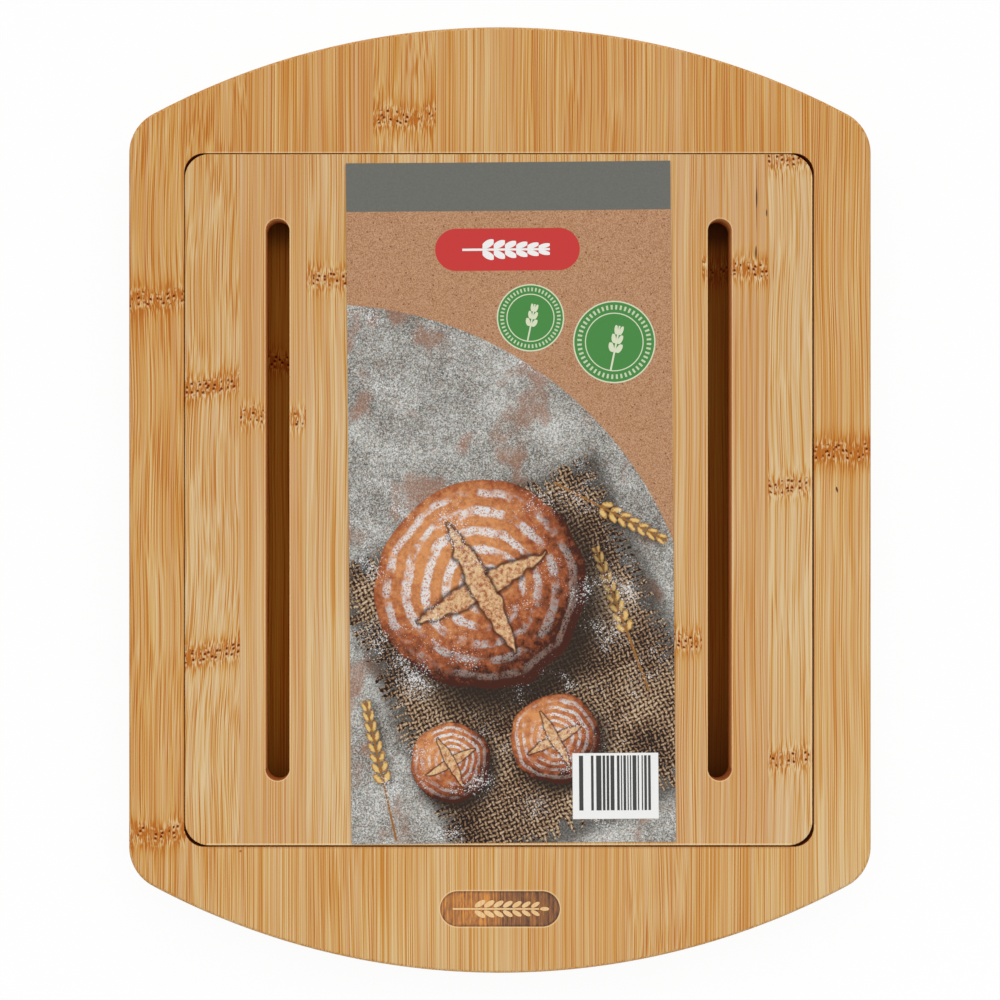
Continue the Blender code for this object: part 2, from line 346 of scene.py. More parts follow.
floor_mesh = bpy.data.meshes.new("floor")
corner_signs = ((-1, -1), (1, -1), (1, 1), (-1, 1))
floor_corners = [(x * FLOOR_REACH, y * FLOOR_REACH, FLOOR_LEVEL) for x, y in corner_signs]
floor_mesh.from_pydata(floor_corners, [], [(0, 1, 2, 3)])
floor_mesh.materials.append(floor_bench.material)
floor = bpy.data.objects.new("floor", floor_mesh)
bpy.context.scene.collection.objects.link(floor)
floor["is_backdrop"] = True
print(f"the floor reaches {FLOOR_REACH:.0f} m to each side, {FLOOR_LEVEL / MM:.2f} mm high")

# %% [markdown]
# ## Measures from the frame
#
# The boxes of the measured pieces say where each ply begins, where the pocket is and where
# neighbouring strips meet. Only what a box can't tell, such as a radius or an eased edge, is given
# here as a size of its own.

# %% Measure the plies and the joints
END_STRIPS, INSERT_STRIPS, FLOOR_STRIPS = 10, 10, 12
floor_top = (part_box("floor_strip_01")[1].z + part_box("core_rail_left")[0].z) / 2
core_top = (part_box("core_rail_left")[1].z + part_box("rim_rail_left")[0].z) / 2
print(f"plies up to {floor_top / MM:.2f}, {core_top / MM:.2f} and {FACE_LEVEL / MM:.2f} mm")


def numbered(start, count):
    """Names of numbered strips."""
    return [f"{start}_{i + 1:02d}" for i in range(count)]


def joints_between(names):
    """Where neighbouring strips meet along X, in the middle of the glue between them."""
    boxes = [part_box(name) for name in names]
    return [(left[1].x + right[0].x) / 2 for left, right in zip(boxes, boxes[1:])]


def box_of(names):
    """The lowest and highest corner of several nodes."""
    boxes = [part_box(name) for name in names]
    low = Vector([min(box[0][axis] for box in boxes) for axis in range(3)])
    high = Vector([max(box[1][axis] for box in boxes) for axis in range(3)])
    return low, high


rim_far, rim_near = numbered("rim_far", END_STRIPS), numbered("rim_near", END_STRIPS)
insert_strips = numbered("insert_strip", INSERT_STRIPS)
floor_strips = numbered("floor_strip", FLOOR_STRIPS)
rim_joints = joints_between(["rim_rail_left", *rim_far, "rim_rail_right"])
floor_joints = joints_between(floor_strips)
insert_joints = joints_between(insert_strips)
core_joints = joints_between(["core_rail_left", "core_end_far", "core_rail_right"])
insert_low, insert_high = box_of(insert_strips)
print("the cutting board's joints lie at", [round(x / MM, 1) for x in insert_joints], "mm")

# %% [markdown]
# ## Panels
#
# Each ply is one flat panel. The base's outline is straight at the sides, with round corners that
# run into the bowed ends without a kink, so it is built from arcs whose centres are worked out to
# meet. Drawn in a little at several heights, an outline gives an edge that is rounded over. A stack
# of such outlines, skinned together, is a closed solid, which keeps the true arcs where a bevelled
# box would only come near them.

# %% Outlines from arcs
END_RISE = 40.2 * MM            # how far the bowed end stands out over the board's full width
CORNER_RADIUS = 18.0 * MM
END_RADIUS = ((BOARD_WIDTH / 2) ** 2 + END_RISE**2) / (2 * END_RISE)
ARC_STEP = math.radians(3.0)
BOW_STEP = math.radians(0.75)
FEWEST_STEPS = 2


def arc(centre, radius, start, end, step=ARC_STEP):
    """Points along an arc, both ends included."""
    count = max(FEWEST_STEPS, round(abs(end - start) / step))
    angles = [start + (end - start) * i / count for i in range(count + 1)]
    return [(centre[0] + radius * math.cos(a), centre[1] + radius * math.sin(a)) for a in angles]


def board_outline(inset=0.0):
    """The base's edge from above, drawn in by inset."""
    bow_y = BOARD_LENGTH / 2 - END_RADIUS
    corner_x = BOARD_WIDTH / 2 - CORNER_RADIUS
    corner_y = bow_y + math.sqrt((END_RADIUS - CORNER_RADIUS) ** 2 - corner_x**2)
    meet = math.atan2(corner_y - bow_y, corner_x)
    corner, bow = CORNER_RADIUS - inset, END_RADIUS - inset
    far = arc((corner_x, corner_y), corner, 0, meet)[:-1]
    far += arc((0, bow_y), bow, meet, math.pi - meet, BOW_STEP)[:-1]
    far += arc((-corner_x, corner_y), corner, math.pi - meet, math.pi)
    return far + [(-x, -y) for x, y in far]


def rounded_rectangle(low, high, radius, inset=0.0):
    """A rectangle between two corners, with round corners of its own, drawn in by inset."""
    left, near, right, far = low[0] + radius, low[1] + radius, high[0] - radius, high[1] - radius
    points = []
    for quarter, centre in enumerate(((right, far), (left, far), (left, near), (right, near))):
        start = quarter * math.pi / 2
        points += arc(centre, radius - inset, start, start + math.pi / 2)
    return points


print(f"the ends are bowed to a radius of {END_RADIUS / MM:.0f} mm, {len(board_outline())} points")

# %% Panels and cutters
EDGE_ROUND = 1.5 * MM
ROUND_STEPS = 8


def add_piece(name, mesh):
    """Puts a mesh in the scene, at the origin."""
    made = bpy.data.objects.new(name, mesh)
    bpy.context.scene.collection.objects.link(made)
    return made


def stack(name, rings):
    """A closed solid through level outlines of (height, points), from the lowest up."""
    shape = bmesh.new()
    loops = [[shape.verts.new((x, y, height)) for x, y in points] for height, points in rings]
    shape.faces.new(reversed(loops[0]))
    for below, above in zip(loops, loops[1:]):
        for i in range(len(below)):
            j = (i + 1) % len(below)
            shape.faces.new((below[i], below[j], above[j], above[i]))
    shape.faces.new(loops[-1])
    mesh = bpy.data.meshes.new(name)
    shape.to_mesh(mesh)
    shape.free()
    return add_piece(name, mesh)


def rounding(radius, steps=ROUND_STEPS):
    """(height, inset) up a rounded lower edge."""
    angles = [math.pi / 2 * i / steps for i in range(steps + 1)]
    return [(radius * (1 - math.cos(a)), radius * (1 - math.sin(a))) for a in angles]


def cut(panel, cutters):
    """Cuts shapes out of a panel and leaves it a plain mesh."""
    for cutter in cutters:
        boolean = panel.modifiers.new(cutter.name, "BOOLEAN")
        boolean.operation = "DIFFERENCE"
        boolean.solver = "EXACT"
        boolean.object = cutter
    graph = bpy.context.evaluated_depsgraph_get()
    mesh = bpy.data.meshes.new_from_object(panel.evaluated_get(graph))
    panel.modifiers.clear()
    panel.data = mesh
    for cutter in cutters:
        bpy.data.objects.remove(cutter)
    return panel


edge = rounding(EDGE_ROUND)
under = [(height, board_outline(inset)) for height, inset in edge]
over = [(FACE_LEVEL - height, board_outline(inset)) for height, inset in reversed(edge)]
floor_panel = stack("floor_panel", [*under, (floor_top, board_outline())])
core_panel = stack("core_panel", [(floor_top, board_outline()), (core_top, board_outline())])
rim_panel = stack("rim_panel", [(core_top, board_outline()), *over])
panels = (floor_panel, core_panel, rim_panel)
print("panels of", [len(panel.data.vertices) for panel in panels], "points")

# %% [markdown]
# The pocket goes through the top ply, and the opening in the middle ply is 6 mm smaller all round,
# which leaves the ledge that carries the cutting board. A boolean modifier takes a plain cutter
# out of a panel, which is how a router takes the pocket out of the glued ply.

# %% Cut the pocket and the recess
POCKET_CORNER = 8.0 * MM
GAP_LEFT, GAP_RIGHT = 0.3 * MM, 0.6 * MM
OVERRUN = 3.0 * MM
pocket_low = (insert_low.x - GAP_LEFT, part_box("rim_near_05")[1].y)
pocket_high = (insert_high.x + GAP_RIGHT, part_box("rim_far_05")[0].y)
opening_low = (core_joints[0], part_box("core_end_near")[1].y)
opening_high = (core_joints[1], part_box("core_end_far")[0].y)


def through(name, points, low, high):
    """A cutter that goes straight through between two levels."""
    return stack(name, [(low - OVERRUN, points), (high + OVERRUN, points)])


pocket_points = rounded_rectangle(pocket_low, pocket_high, POCKET_CORNER)
opening_points = [opening_low, (opening_high[0], opening_low[1]),
                  opening_high, (opening_low[0], opening_high[1])]
cut(rim_panel, [through("pocket", pocket_points, core_top, FACE_LEVEL)])
cut(core_panel, [through("opening", opening_points, floor_top, core_top)])
pocket_size = [(high - low) / MM for low, high in zip(pocket_low, pocket_high)]
print(f"pocket {pocket_size[0]:.1f} x {pocket_size[1]:.1f} mm")

# %% [markdown]
# ## Geometry Nodes
#
# The bench that wires up materials can wire up Geometry Nodes too, because both kinds of tree are
# nodes and links. It needs named inputs, and an end that makes instances real and sets the
# material. The result is then taken off the modifier as a plain mesh.


# %% One geometry tree and its nodes
class GeometryBench(Bench):
    """The node tree of a Geometry Nodes modifier."""

    def __init__(self, name, sockets):
        self.tree = bpy.data.node_groups.new(name, "GeometryNodeTree")
        for socket, kind in sockets.items():
            self.tree.interface.new_socket(socket, in_out="INPUT", socket_type=f"NodeSocket{kind}")
        self.tree.interface.new_socket("Result", in_out="OUTPUT", socket_type="NodeSocketGeometry")
        self.start = self.tree.nodes.new("NodeGroupInput")
        self.end = self.tree.nodes.new("NodeGroupOutput")

    def given(self, name):
        """One of the tree's named inputs."""
        return Wire(self, self.start.outputs[name])

    def finished(self, geometry):
        """Makes instances real, gives them the material called Finish and ends the tree."""
        real = self.node("GeometryNodeRealizeInstances", inputs={"Geometry": geometry})
        inputs = {"Geometry": real, "Material": self.given("Finish")}
        finish = self.node("GeometryNodeSetMaterial", inputs=inputs)
        self.tree.links.new(finish.socket, self.end.inputs["Result"])
        return self.tree


def run_tree(piece, tree, values):
    """Runs a tree on a piece and leaves it a plain mesh. values are the tree's inputs by name."""
    modifier = piece.modifiers.new(tree.name, "NODES")
    modifier.node_group = tree
    for socket in tree.interface.items_tree:
        if socket.name in values:
            modifier[socket.identifier] = values[socket.name]
    graph = bpy.context.evaluated_depsgraph_get()
    mesh = bpy.data.meshes.new_from_object(piece.evaluated_get(graph))
    piece.modifiers.clear()
    piece.data = mesh
    return piece


# %% [markdown]
# In the middle of the near rim is a shallow plaque, and an ear of wheat is left standing in it. A
# block of the plaque's outline has the ear taken out of it, and what is left of the block is the
# cutter. The grains repeat in pairs along the stem and shrink towards the tip, so Geometry Nodes
# set them out: a point for each grain, and on each point one small cylinder, turned and stretched.

# %% The tree that sets out the ear
GRAIN_SIDES = 20
TIP_TAPER = 0.25                # how much smaller the grains are at the tip
STEM_SHORT = 0.6                # how much of a pitch the stem ends before the last grain
EAR_INPUTS = {
    "Block": "Object", "Pairs": "Int", "Pitch": "Float", "Grain length": "Float",
    "Grain width": "Float", "Out": "Float", "Tilt": "Float", "Start": "Float", "Across": "Float",
    "Level": "Float", "Height": "Float", "Stem from": "Float", "Stem width": "Float",
    "Finish": "Material",
}


def grains_on_a_stem(g):
    """Pairs of slanting grains, and one more at the tip."""
    index, pairs = g.node("GeometryNodeInputIndex"), g.given("Pairs")
    number = (index / 2).whole()
    side = (1 - 2 * (index - number * 2)) * (index < pairs * 2 - 0.5)
    taper = 1 - number / pairs * TIP_TAPER
    place_x = g.given("Start") + number * g.given("Pitch")
    place_y = g.given("Across") + side * g.given("Out") * taper
    place = g.vector(place_x, place_y, g.given("Level"))
    points = g.node("GeometryNodePoints", inputs={"Count": pairs * 2 + 1, "Position": place})
    tilt = g.vector(0.0, 0.0, side * g.given("Tilt"))
    turn = g.node("FunctionNodeEulerToRotation", inputs={"Euler": tilt})
    length, width = g.given("Grain length") * taper, g.given("Grain width") * taper
    unit = {"Vertices": GRAIN_SIDES, "Radius": 0.5, "Depth": 1.0}
    grain = g.node("GeometryNodeMeshCylinder", inputs=unit, output="Mesh")
    on_points = {"Points": points, "Instance": grain, "Rotation": turn,
                 "Scale": g.vector(length, width, g.given("Height"))}
    return g.node("GeometryNodeInstanceOnPoints", inputs=on_points)


def stem_bar(g):
    """The straight stem, from below the grains to the last of them."""
    start, pitch = g.given("Stem from"), g.given("Pitch")
    end = g.given("Start") + (g.given("Pairs") - STEM_SHORT) * pitch
    size = g.vector(end - start, g.given("Stem width"), g.given("Height"))
    bar = g.node("GeometryNodeMeshCube", inputs={"Size": size}, output="Mesh")
    middle = g.vector((start + end) / 2, g.given("Across"), g.given("Level"))
    return g.node("GeometryNodeTransform", inputs={"Geometry": bar, "Translation": middle})


def ear_tree():
    """A block with an ear of wheat taken out of it."""
    g = GeometryBench("ear of wheat", EAR_INPUTS)
    block = g.node("GeometryNodeObjectInfo", inputs={"Object": g.given("Block")}, output="Geometry")
    grains = g.node("GeometryNodeRealizeInstances", inputs={"Geometry": grains_on_a_stem(g)})
    settings = {"operation": "DIFFERENCE", "solver": "EXACT"}
    inputs = {"Mesh 1": block, "Mesh 2": [grains, stem_bar(g)], "Self Intersection": True}
    return g.finished(g.node("GeometryNodeMeshBoolean", settings, inputs, "Mesh"))


print(f"the ear's tree has {len(EAR_INPUTS)} inputs")

# %% Cut the plaque
PLAQUE_MIDDLE = (0.0, -164.1 * MM)
PLAQUE_HALF = (24.0 * MM, 7.1 * MM)
PLAQUE_DEPTH = 0.25 * MM
CUTTER_HEIGHT = 4 * OVERRUN
EAR_SIZES = {
    "Pairs": 7, "Pitch": 3.7 * MM, "Grain length": 4.9 * MM, "Grain width": 2.1 * MM,
    "Out": 2.1 * MM, "Tilt": math.radians(30), "Start": -8.0 * MM, "Across": PLAQUE_MIDDLE[1],
    "Level": FACE_LEVEL, "Height": CUTTER_HEIGHT, "Stem from": -19.0 * MM, "Stem width": 0.7 * MM,
}

plaque_low = [middle - half for middle, half in zip(PLAQUE_MIDDLE, PLAQUE_HALF)]
plaque_high = [middle + half for middle, half in zip(PLAQUE_MIDDLE, PLAQUE_HALF)]
plaque_points = rounded_rectangle(plaque_low, plaque_high, PLAQUE_HALF[1])
plaque_rings = [(FACE_LEVEL - PLAQUE_DEPTH, plaque_points), (FACE_LEVEL + OVERRUN, plaque_points)]
block = stack("plaque_block", plaque_rings)
plaque = add_piece("plaque", bpy.data.meshes.new("plaque"))
run_tree(plaque, ear_tree(), {"Block": block, **EAR_SIZES})
bpy.data.objects.remove(block)
cut(rim_panel, [plaque])
print(f"the plaque is {PLAQUE_DEPTH / MM:.2f} mm deep, the rim has {len(rim_panel.data.polygons)} faces")

# %% [markdown]
# The cutting board is a panel of its own, with eased edges and two long slots whose edges are eased
# as well. A slot is cut with a stack of outlines that widens towards both faces, so the easing
# comes with the cut. A bevel after the cut would have to find those edges again.

# %% Make the cutting board's panel
INSERT_CORNER = 9.7 * MM
INSERT_EASE = 0.4 * MM
SLOT_WIDTH = 9.6 * MM
SLOT_FROM_SIDE = 37.2 * MM
SLOT_FROM_END = 26.0 * MM
SLOT_EASE = 0.3 * MM
EASE_STEPS = 3
slot_ends = (insert_low.y + SLOT_FROM_END, insert_high.y - SLOT_FROM_END)


def insert_outline(inset=0.0):
    """The cutting board's edge from above, drawn in by inset."""
    return rounded_rectangle(insert_low, insert_high, INSERT_CORNER, inset)


def slot_cutter(name, place_x):
    """A slot with round ends, widened towards both faces."""
    low, high, reach = insert_low.z, insert_high.z, SLOT_WIDTH / 2

    def outline(grow):
        radius = reach + grow
        corner, opposite = place_x - radius, place_x + radius
        ends = slot_ends[0] - grow, slot_ends[1] + grow
        return rounded_rectangle((corner, ends[0]), (opposite, ends[1]), radius)

    eased = rounding(SLOT_EASE, EASE_STEPS)
    up = [(low + height, outline(inset)) for height, inset in eased]
    down = [(high - height, outline(inset)) for height, inset in reversed(eased)]
    past = outline(SLOT_EASE)
    return stack(name, [(low - OVERRUN, past), *up, *down, (high + OVERRUN, past)])


eased = rounding(INSERT_EASE, EASE_STEPS)
lower = [(insert_low.z + height, insert_outline(inset)) for height, inset in eased]
upper = [(insert_high.z - height, insert_outline(inset)) for height, inset in reversed(eased)]
insert_panel = stack("insert_panel", lower + upper)
slot_places = (insert_low.x + SLOT_FROM_SIDE, insert_high.x - SLOT_FROM_SIDE)
cut(insert_panel, [slot_cutter(f"slot_{i}", x) for i, x in enumerate(slot_places)])
print("slots at", [round(x / MM, 1) for x in slot_places], "mm")

# %% [markdown]
# ## Strips
#
# A ply is glued up from strips before its outline is cut, and the same order works here. Geometry
# Nodes set a blank for each strip in a row, a hairline of glue apart, and keep what the blanks and
# the panel have in common. Each strip comes out as a closed body of its own, with the panel's true
# edge where it reaches one. Modelling the strips one by one would repeat the same outline many
# times over.

# %% The tree that glues up a ply
GLUE_LINE = 0.02 * MM
BLANK_WIDTH = "blank_width"


def glue_up_tree():
    """Blanks on a row of points, each as wide as its point says, trimmed to a panel."""
    sockets = {"Row": "Geometry", "Panel": "Object", "Length": "Float", "Height": "Float",
               "Glue line": "Float", "Finish": "Material"}
    g = GeometryBench("glue up a ply", sockets)
    width = g.node("GeometryNodeInputNamedAttribute", inputs={"Name": BLANK_WIDTH}, output="Attribute")
    size = g.vector(width - g.given("Glue line"), g.given("Length"), g.given("Height"))
    cube = g.node("GeometryNodeMeshCube", output="Mesh")
    on_points = {"Points": g.given("Row"), "Instance": cube, "Scale": size}
    row = g.node("GeometryNodeInstanceOnPoints", inputs=on_points)
    blanks = g.node("GeometryNodeRealizeInstances", inputs={"Geometry": row})
    panel = g.node("GeometryNodeObjectInfo", inputs={"Object": g.given("Panel")}, output="Geometry")
    settings = {"operation": "INTERSECT", "solver": "EXACT"}
    trimmed = g.node("GeometryNodeMeshBoolean", settings, {"Mesh 2": [panel, blanks]}, "Mesh")
    return g.finished(trimmed)


glue_up = glue_up_tree()
print(f"the ply's tree has {len(glue_up.nodes)} nodes, and leaves {GLUE_LINE / MM:.2f} mm for the glue")

# %% Glue up a ply
SHARP_FROM = math.radians(13)


def glue_ply(name, panel, joints, material):
    """One ply of strips as a plain mesh. joints are where its strips meet."""
    low, high = panel_box(panel)
    middle_z, height = (low.z + high.z) / 2, high.z - low.z + 2 * OVERRUN
    edges = [low.x - OVERRUN, *joints, high.x + OVERRUN]
    row_mesh = bpy.data.meshes.new(name)
    middles = [((left + right) / 2, 0.0, middle_z) for left, right in zip(edges, edges[1:])]
    row_mesh.from_pydata(middles, [], [])
    widths = row_mesh.attributes.new(BLANK_WIDTH, "FLOAT", "POINT")
    widths.data.foreach_set("value", [right - left for left, right in zip(edges, edges[1:])])
    piece = add_piece(name, row_mesh)
    values = {"Panel": panel, "Length": BOARD_LENGTH + 2 * OVERRUN, "Height": height,
              "Glue line": GLUE_LINE, "Finish": material}
    run_tree(piece, glue_up, values)
    piece.data.shade_smooth()
    piece.data.set_sharp_from_angle(angle=SHARP_FROM)
    bpy.data.objects.remove(panel)
    print(f"{name}: {len(joints) + 1} strips wide, {len(piece.data.polygons)} faces")
    return piece


def panel_box(piece):
    """The lowest and highest corner of a mesh."""
    points = [vertex.co for vertex in piece.data.vertices]
    return (Vector([min(p[axis] for p in points) for axis in range(3)]),
            Vector([max(p[axis] for p in points) for axis in range(3)]))


# %% [markdown]
# ## Bamboo
#
# Bamboo timber is glued up from strips about 25 mm wide. Along each strip run its fibres,
# orange-brown on a paler ground, and every 20 cm or so a knuckle crosses it, where the stem had a
# partition: a ragged darker band with small dark pores. One solid pattern in space gives all of
# this. It is stretched far along Y, so it shows as streaks on the faces and sides and as dots on
# the sawn ends, as in real timber. What differs from strip to strip is written on the faces of each
# strip, where the material reads it.

# %% The colours of bamboo
FIBRE_COLOURS = (
    (0.00, paint(176, 99, 26)), (0.25, paint(190, 123, 47)), (0.45, paint(197, 140, 66)),
    (0.62, paint(202, 153, 84)), (0.80, paint(208, 167, 106)), (1.00, paint(216, 186, 137)),
)
# this brown also paints the shade beside the gap and on the pocket walls
KNUCKLE_AND_SHADE_BROWN = paint(180, 104, 32)
PORE_BROWN, PORE_RIM = paint(92, 20, 0), paint(156, 74, 12)
# this pale also paints the highlights beside the gap and round the slots
PALE_AND_HIGHLIGHT = paint(248, 212, 158)
PINK_TAN = paint(200, 150, 104)
print(f"{len(FIBRE_COLOURS)} shades of wood, from dark fibre to pale ground")

# %% [markdown]
# Each strip is sawn from another part of the stem, so its number shifts it to another part of the
# pattern. A knuckle crosses a strip with a lean of its own and a ragged edge. The distance to the
# nearest one is worked out once, because the fibres, the colours and the pores all follow it.

# %% Where a point lies on its strip
SEED_SHIFT = (37.7, 71.3, 13.9)         # millimetres from one strip's part of the pattern to the next
KNUCKLE_REACH, KNUCKLE_RAGGED = 14, 4


def read_strip(b):
    """What a strip's faces say about it, and where a point lies in its part of the pattern."""
    at = SimpleNamespace()
    at.x, at.y, at.z = b.place()
    at.low, at.high, at.seed = b.attribute("strip")
    at.tone, at.dashes, at.slant = b.attribute("look")
    at.lean, at.blush, at.fade = b.attribute("extra")
    at.skew, at.stain, at.char = b.attribute("grain")
    at.cross, at.along, at.up = [v + at.seed * shift for v, shift in zip((at.x, at.y, at.z), SEED_SHIFT)]
    ragged = (b.noise(at.cross / 7, 0.5, at.seed) - 0.5) * KNUCKLE_RAGGED
    at.tilted = at.y - at.lean * (at.x - (at.low + at.high) / 2) + ragged
    first, second, third = [abs(at.tilted - place) for place in b.attribute("knuckles")]
    at.nearest = first.low(second).low(third)
    at.around = at.nearest.rise(KNUCKLE_REACH, 0)
    return at


print(f"a knuckle bends and browns the fibres up to {KNUCKLE_REACH} mm away")

# %% [markdown]
# Fibre bundles run through the wood like wires. They are drawn as cells in the strip's cross
# section, which hardly change along it. So they are dots on a sawn end, lines on a face that
# follows them and spindles on a face that cuts them at a slant. Finer threads lie between them.

# %% Fibres
BUNDLE_PITCH, THREAD_PITCH, FINE_PITCH = 0.82, 0.45, 0.30
THREAD_SHIFT = 50.0             # the threads use another part of the cells than the bundles do


def fibre_shade(b, at):
    """How pale the wood is, about 0 for dark fibre and 1 for pale ground."""
    sway = (b.noise(at.cross / 60, at.along / 70, at.seed) - 0.5) * at.slant * 1.4
    wriggle = (b.noise(at.cross / 3, at.along / 5, at.up / 3) - 0.5) * 0.6 * at.around
    at.fibre = at.cross + at.skew * at.y + sway + wriggle
    wander = (b.noise(at.fibre / 12, at.along / 30, at.seed) - 0.5) * (0.2 + at.dashes * 2.6)
    at.depth = at.up + at.y * at.dashes * 0.08 + wander + at.nearest.rise(6, 0.5) * 0.4
    bundles = b.cells(at.fibre / BUNDLE_PITCH, at.depth / BUNDLE_PITCH, randomness=0.9)
    at.bundles = bundles.rise(0.42, 0.14)
    threads = b.cells(at.fibre / THREAD_PITCH + THREAD_SHIFT, at.depth / THREAD_PITCH).rise(0.44, 0.12)
    fine = b.noise(at.fibre / FINE_PITCH, at.along / 60, at.depth / FINE_PITCH) - 0.5
    bands = b.noise(at.fibre / 4, at.along / 170, at.up / 4) - 0.5
    cloud = b.noise(at.cross / 14, at.along / 60, at.up / 14) - 0.5
    shown = 0.80 + at.tone + at.fade * (at.y / -100)
    shown = shown - at.bundles * (0.52 + at.dashes * 0.3) - threads * 0.34
    return shown + fine * 0.9 + bands * 0.25 + cloud * 0.3


print(f"fibre bundles every {BUNDLE_PITCH} mm, threads every {THREAD_PITCH} mm")

# %% [markdown]
# A knuckle is short flecks and flames of darker brown that run out along the fibres. Across its
# middle lie rows of small pores, each with a rusty rim and often a pale spot beside it. All of it
# is worked out from the distance to the knuckle, so it runs on over the strip's sides, which a
# picture laid on the face would not do. Away from knuckles, strips blush pink between the fibres.

# %% Knuckles and pores
PORE_PITCH, PORE_ROW = 2.4, 2.3         # across the strip and from row to row
PALE_SHIFT = 1.0                        # how far a pore's pale spot lies from it


def with_knuckles(b, at, shown):
    """The wood's shade and colour with its knuckles."""
    flecks = b.noise(at.fibre / 0.28, at.along / 3.0, at.depth / 0.28, 1) - 0.5
    strokes = b.noise(at.fibre / 0.40, at.along / 7.0, at.depth / 0.40) - 0.5
    flame = b.noise(at.fibre / 0.5, at.seed, at.depth / 0.5).rise(0.42, 0.62) * 9 + 1.5
    band = (at.nearest / flame).rise(1.0, 0.2)
    shown = shown + at.nearest.rise(4.5, 0.5) * flecks * 4.2 + at.nearest.rise(9.0, 2.0) * strokes * 3.0
    shown = shown - at.around * (at.char * 0.4 + 0.16) - band * (at.char + 0.52)
    colour = b.node("ShaderNodeValToRGB", {"stops": FIBRE_COLOURS}, {"Fac": shown})
    pink = b.noise(at.fibre, at.along / 150, at.up + 30.0).rise(0.45, 0.62) * 0.45 + at.blush
    colour = b.mix(pink * (1 - at.around) * (1 - at.bundles * 0.8), colour, PINK_TAN)
    streaked = (flecks + strokes * 0.5).rise(0.18, -0.06)
    browned = at.nearest.rise(3.4, 0.8) * streaked * (at.char + 0.66)
    return shown, b.mix(browned, colour, KNUCKLE_AND_SHADE_BROWN)


def with_pores(b, at, colour):
    """The colour with the rows of pores, and the pores themselves."""
    row, place = at.tilted + at.seed * SEED_SHIFT[1], (at.cross + at.up) / PORE_PITCH
    reach = b.cells(place, row / PORE_ROW, randomness=0.8)
    scarce = b.noise(place * 1.7, row / 9, 0.5).rise(0.40, 0.48)
    pitted = at.nearest.rise(3.0, 2.2) * scarce
    pores = reach.rise(0.24, 0.16) * pitted
    spots = b.cells(place, (row + PALE_SHIFT) / PORE_ROW, randomness=0.8).rise(0.28, 0.16)
    pale = spots * at.nearest.rise(5.0, 3.0) * scarce
    colour = b.mix(pale * 0.6, colour, FIBRE_COLOURS[-1][1])
    colour = b.mix(reach.rise(0.33, 0.2) * pitted * 0.6, colour, PORE_RIM)
    return b.mix(pores * 0.88, colour, PORE_BROWN), pores


print(f"rows of pores {PORE_ROW} mm apart, with a pore every {PORE_PITCH} mm")

# %% [markdown]
# Glue shows as a hairline between strips, and on the outer sides between plies. It could be a
# groove in the mesh, but one this narrow shows as a colour and no more. In the recess the lower
# plies carry painted shade, darkest towards its ends. It is kept inside the recess, and the outer
# sides of the plies keep their plain colour.

# %% Glue lines and the recess's painted shade
# the brown of the recess's painted shade
RECESS_SHADE_BROWN = paint(112, 74, 44)
OUTER_MARGIN = 3.0              # the outside begins this far beyond the pocket
rail_box = [[value / MM + side * OUTER_MARGIN for value in corner]
            for corner, side in ((pocket_low, -1), (pocket_high, 1))]
ply_levels = (floor_top / MM, core_top / MM)


def depth_within(x, y, low, high):
    """How far inside a rectangle a point lies, below zero outside it."""
    return (x - low[0]).low(high[0] - x).low(y - low[1]).low(high[1] - y)


def with_glue(b, at, colour):
    """The colour with its glue lines, and the lines themselves."""
    joint = (at.x - at.low).low(at.high - at.x).rise(0.25, 0.05) * 0.25
    outside = depth_within(at.x, at.y, *rail_box) < 0.0
    for level in ply_levels:
        joint = joint.high(abs(at.z - level).rise(0.16, 0.06) * 0.5 * outside)
    return b.mix(joint, colour, KNUCKLE_AND_SHADE_BROWN), joint


def with_recess_shade(b, at, colour, tint, recess):
    """Painted shade in the recess. recess is a box in plan and the level it begins at."""
    *corners, level = recess
    kept_to = (depth_within(at.x, at.y, *corners) > 0.0) * (at.z > level)
    # painted shade, darker towards both ends of the recess and on strips that take more of it
    recess_darkness = at.stain + (-at.y).rise(60.0, 120.0) * 0.45 + at.y.rise(99.0, 111.0) * 0.7
    colour = b.mix(kept_to * recess_darkness, colour, RECESS_SHADE_BROWN)
    return b.mix(kept_to, colour, (*tint, 1.0), "MULTIPLY")


print("plies are glued at", [round(level, 2) for level in ply_levels], "mm")

# %% [markdown]
# The walls of the slots and of the pocket are milled. Those of the slots are a bright gold near
# the top, and all carry painted shade that deepens with depth. Beside the gap, one edge has a
# painted highlight and the other a painted brown shade line, and a painted highlight runs round
# the slots. This could be other materials on chosen faces, but the grain has to run through it, so
# place and height tell the one material where it is.

# %% Milled walls, painted shade and painted highlights
MILLED_GOLD = paint(246, 166, 88)
# painted shade on walls deep in the slots and in the pocket
SEAM_SHADE_TINT = (0.50, 0.24, 0.12, 1.0)
SLOT_WALL = 2.0                 # only this near to a slot does a wall belong to it
# the two sizes below place the painted highlight and brown shade line beside the gap
CORNER_KEPT = 9.0               # the wear beside the gap stops this far from its corners
SIDE_REACH = 3.0                # what lies this near to one side of the gap is worn like that side
SlotPlace = namedtuple("SlotPlace", "middle out centre half reach")
slots = SlotPlace(
    middle=sum(slot_places) / 2 / MM, out=(slot_places[1] - slot_places[0]) / 2 / MM,
    centre=sum(slot_ends) / 2 / MM, half=(slot_ends[1] - slot_ends[0] - SLOT_WIDTH) / 2 / MM,
    reach=SLOT_WIDTH / 2 / MM,
)


def from_slots(at):
    """The distance to the edge of the nearer slot."""
    to_slot = abs(abs(at.x - slots.middle) - slots.out)
    past_end = (abs(at.y - slots.centre) - slots.half).high(0.0)
    return (to_slot * to_slot + past_end * past_end).root() - slots.reach


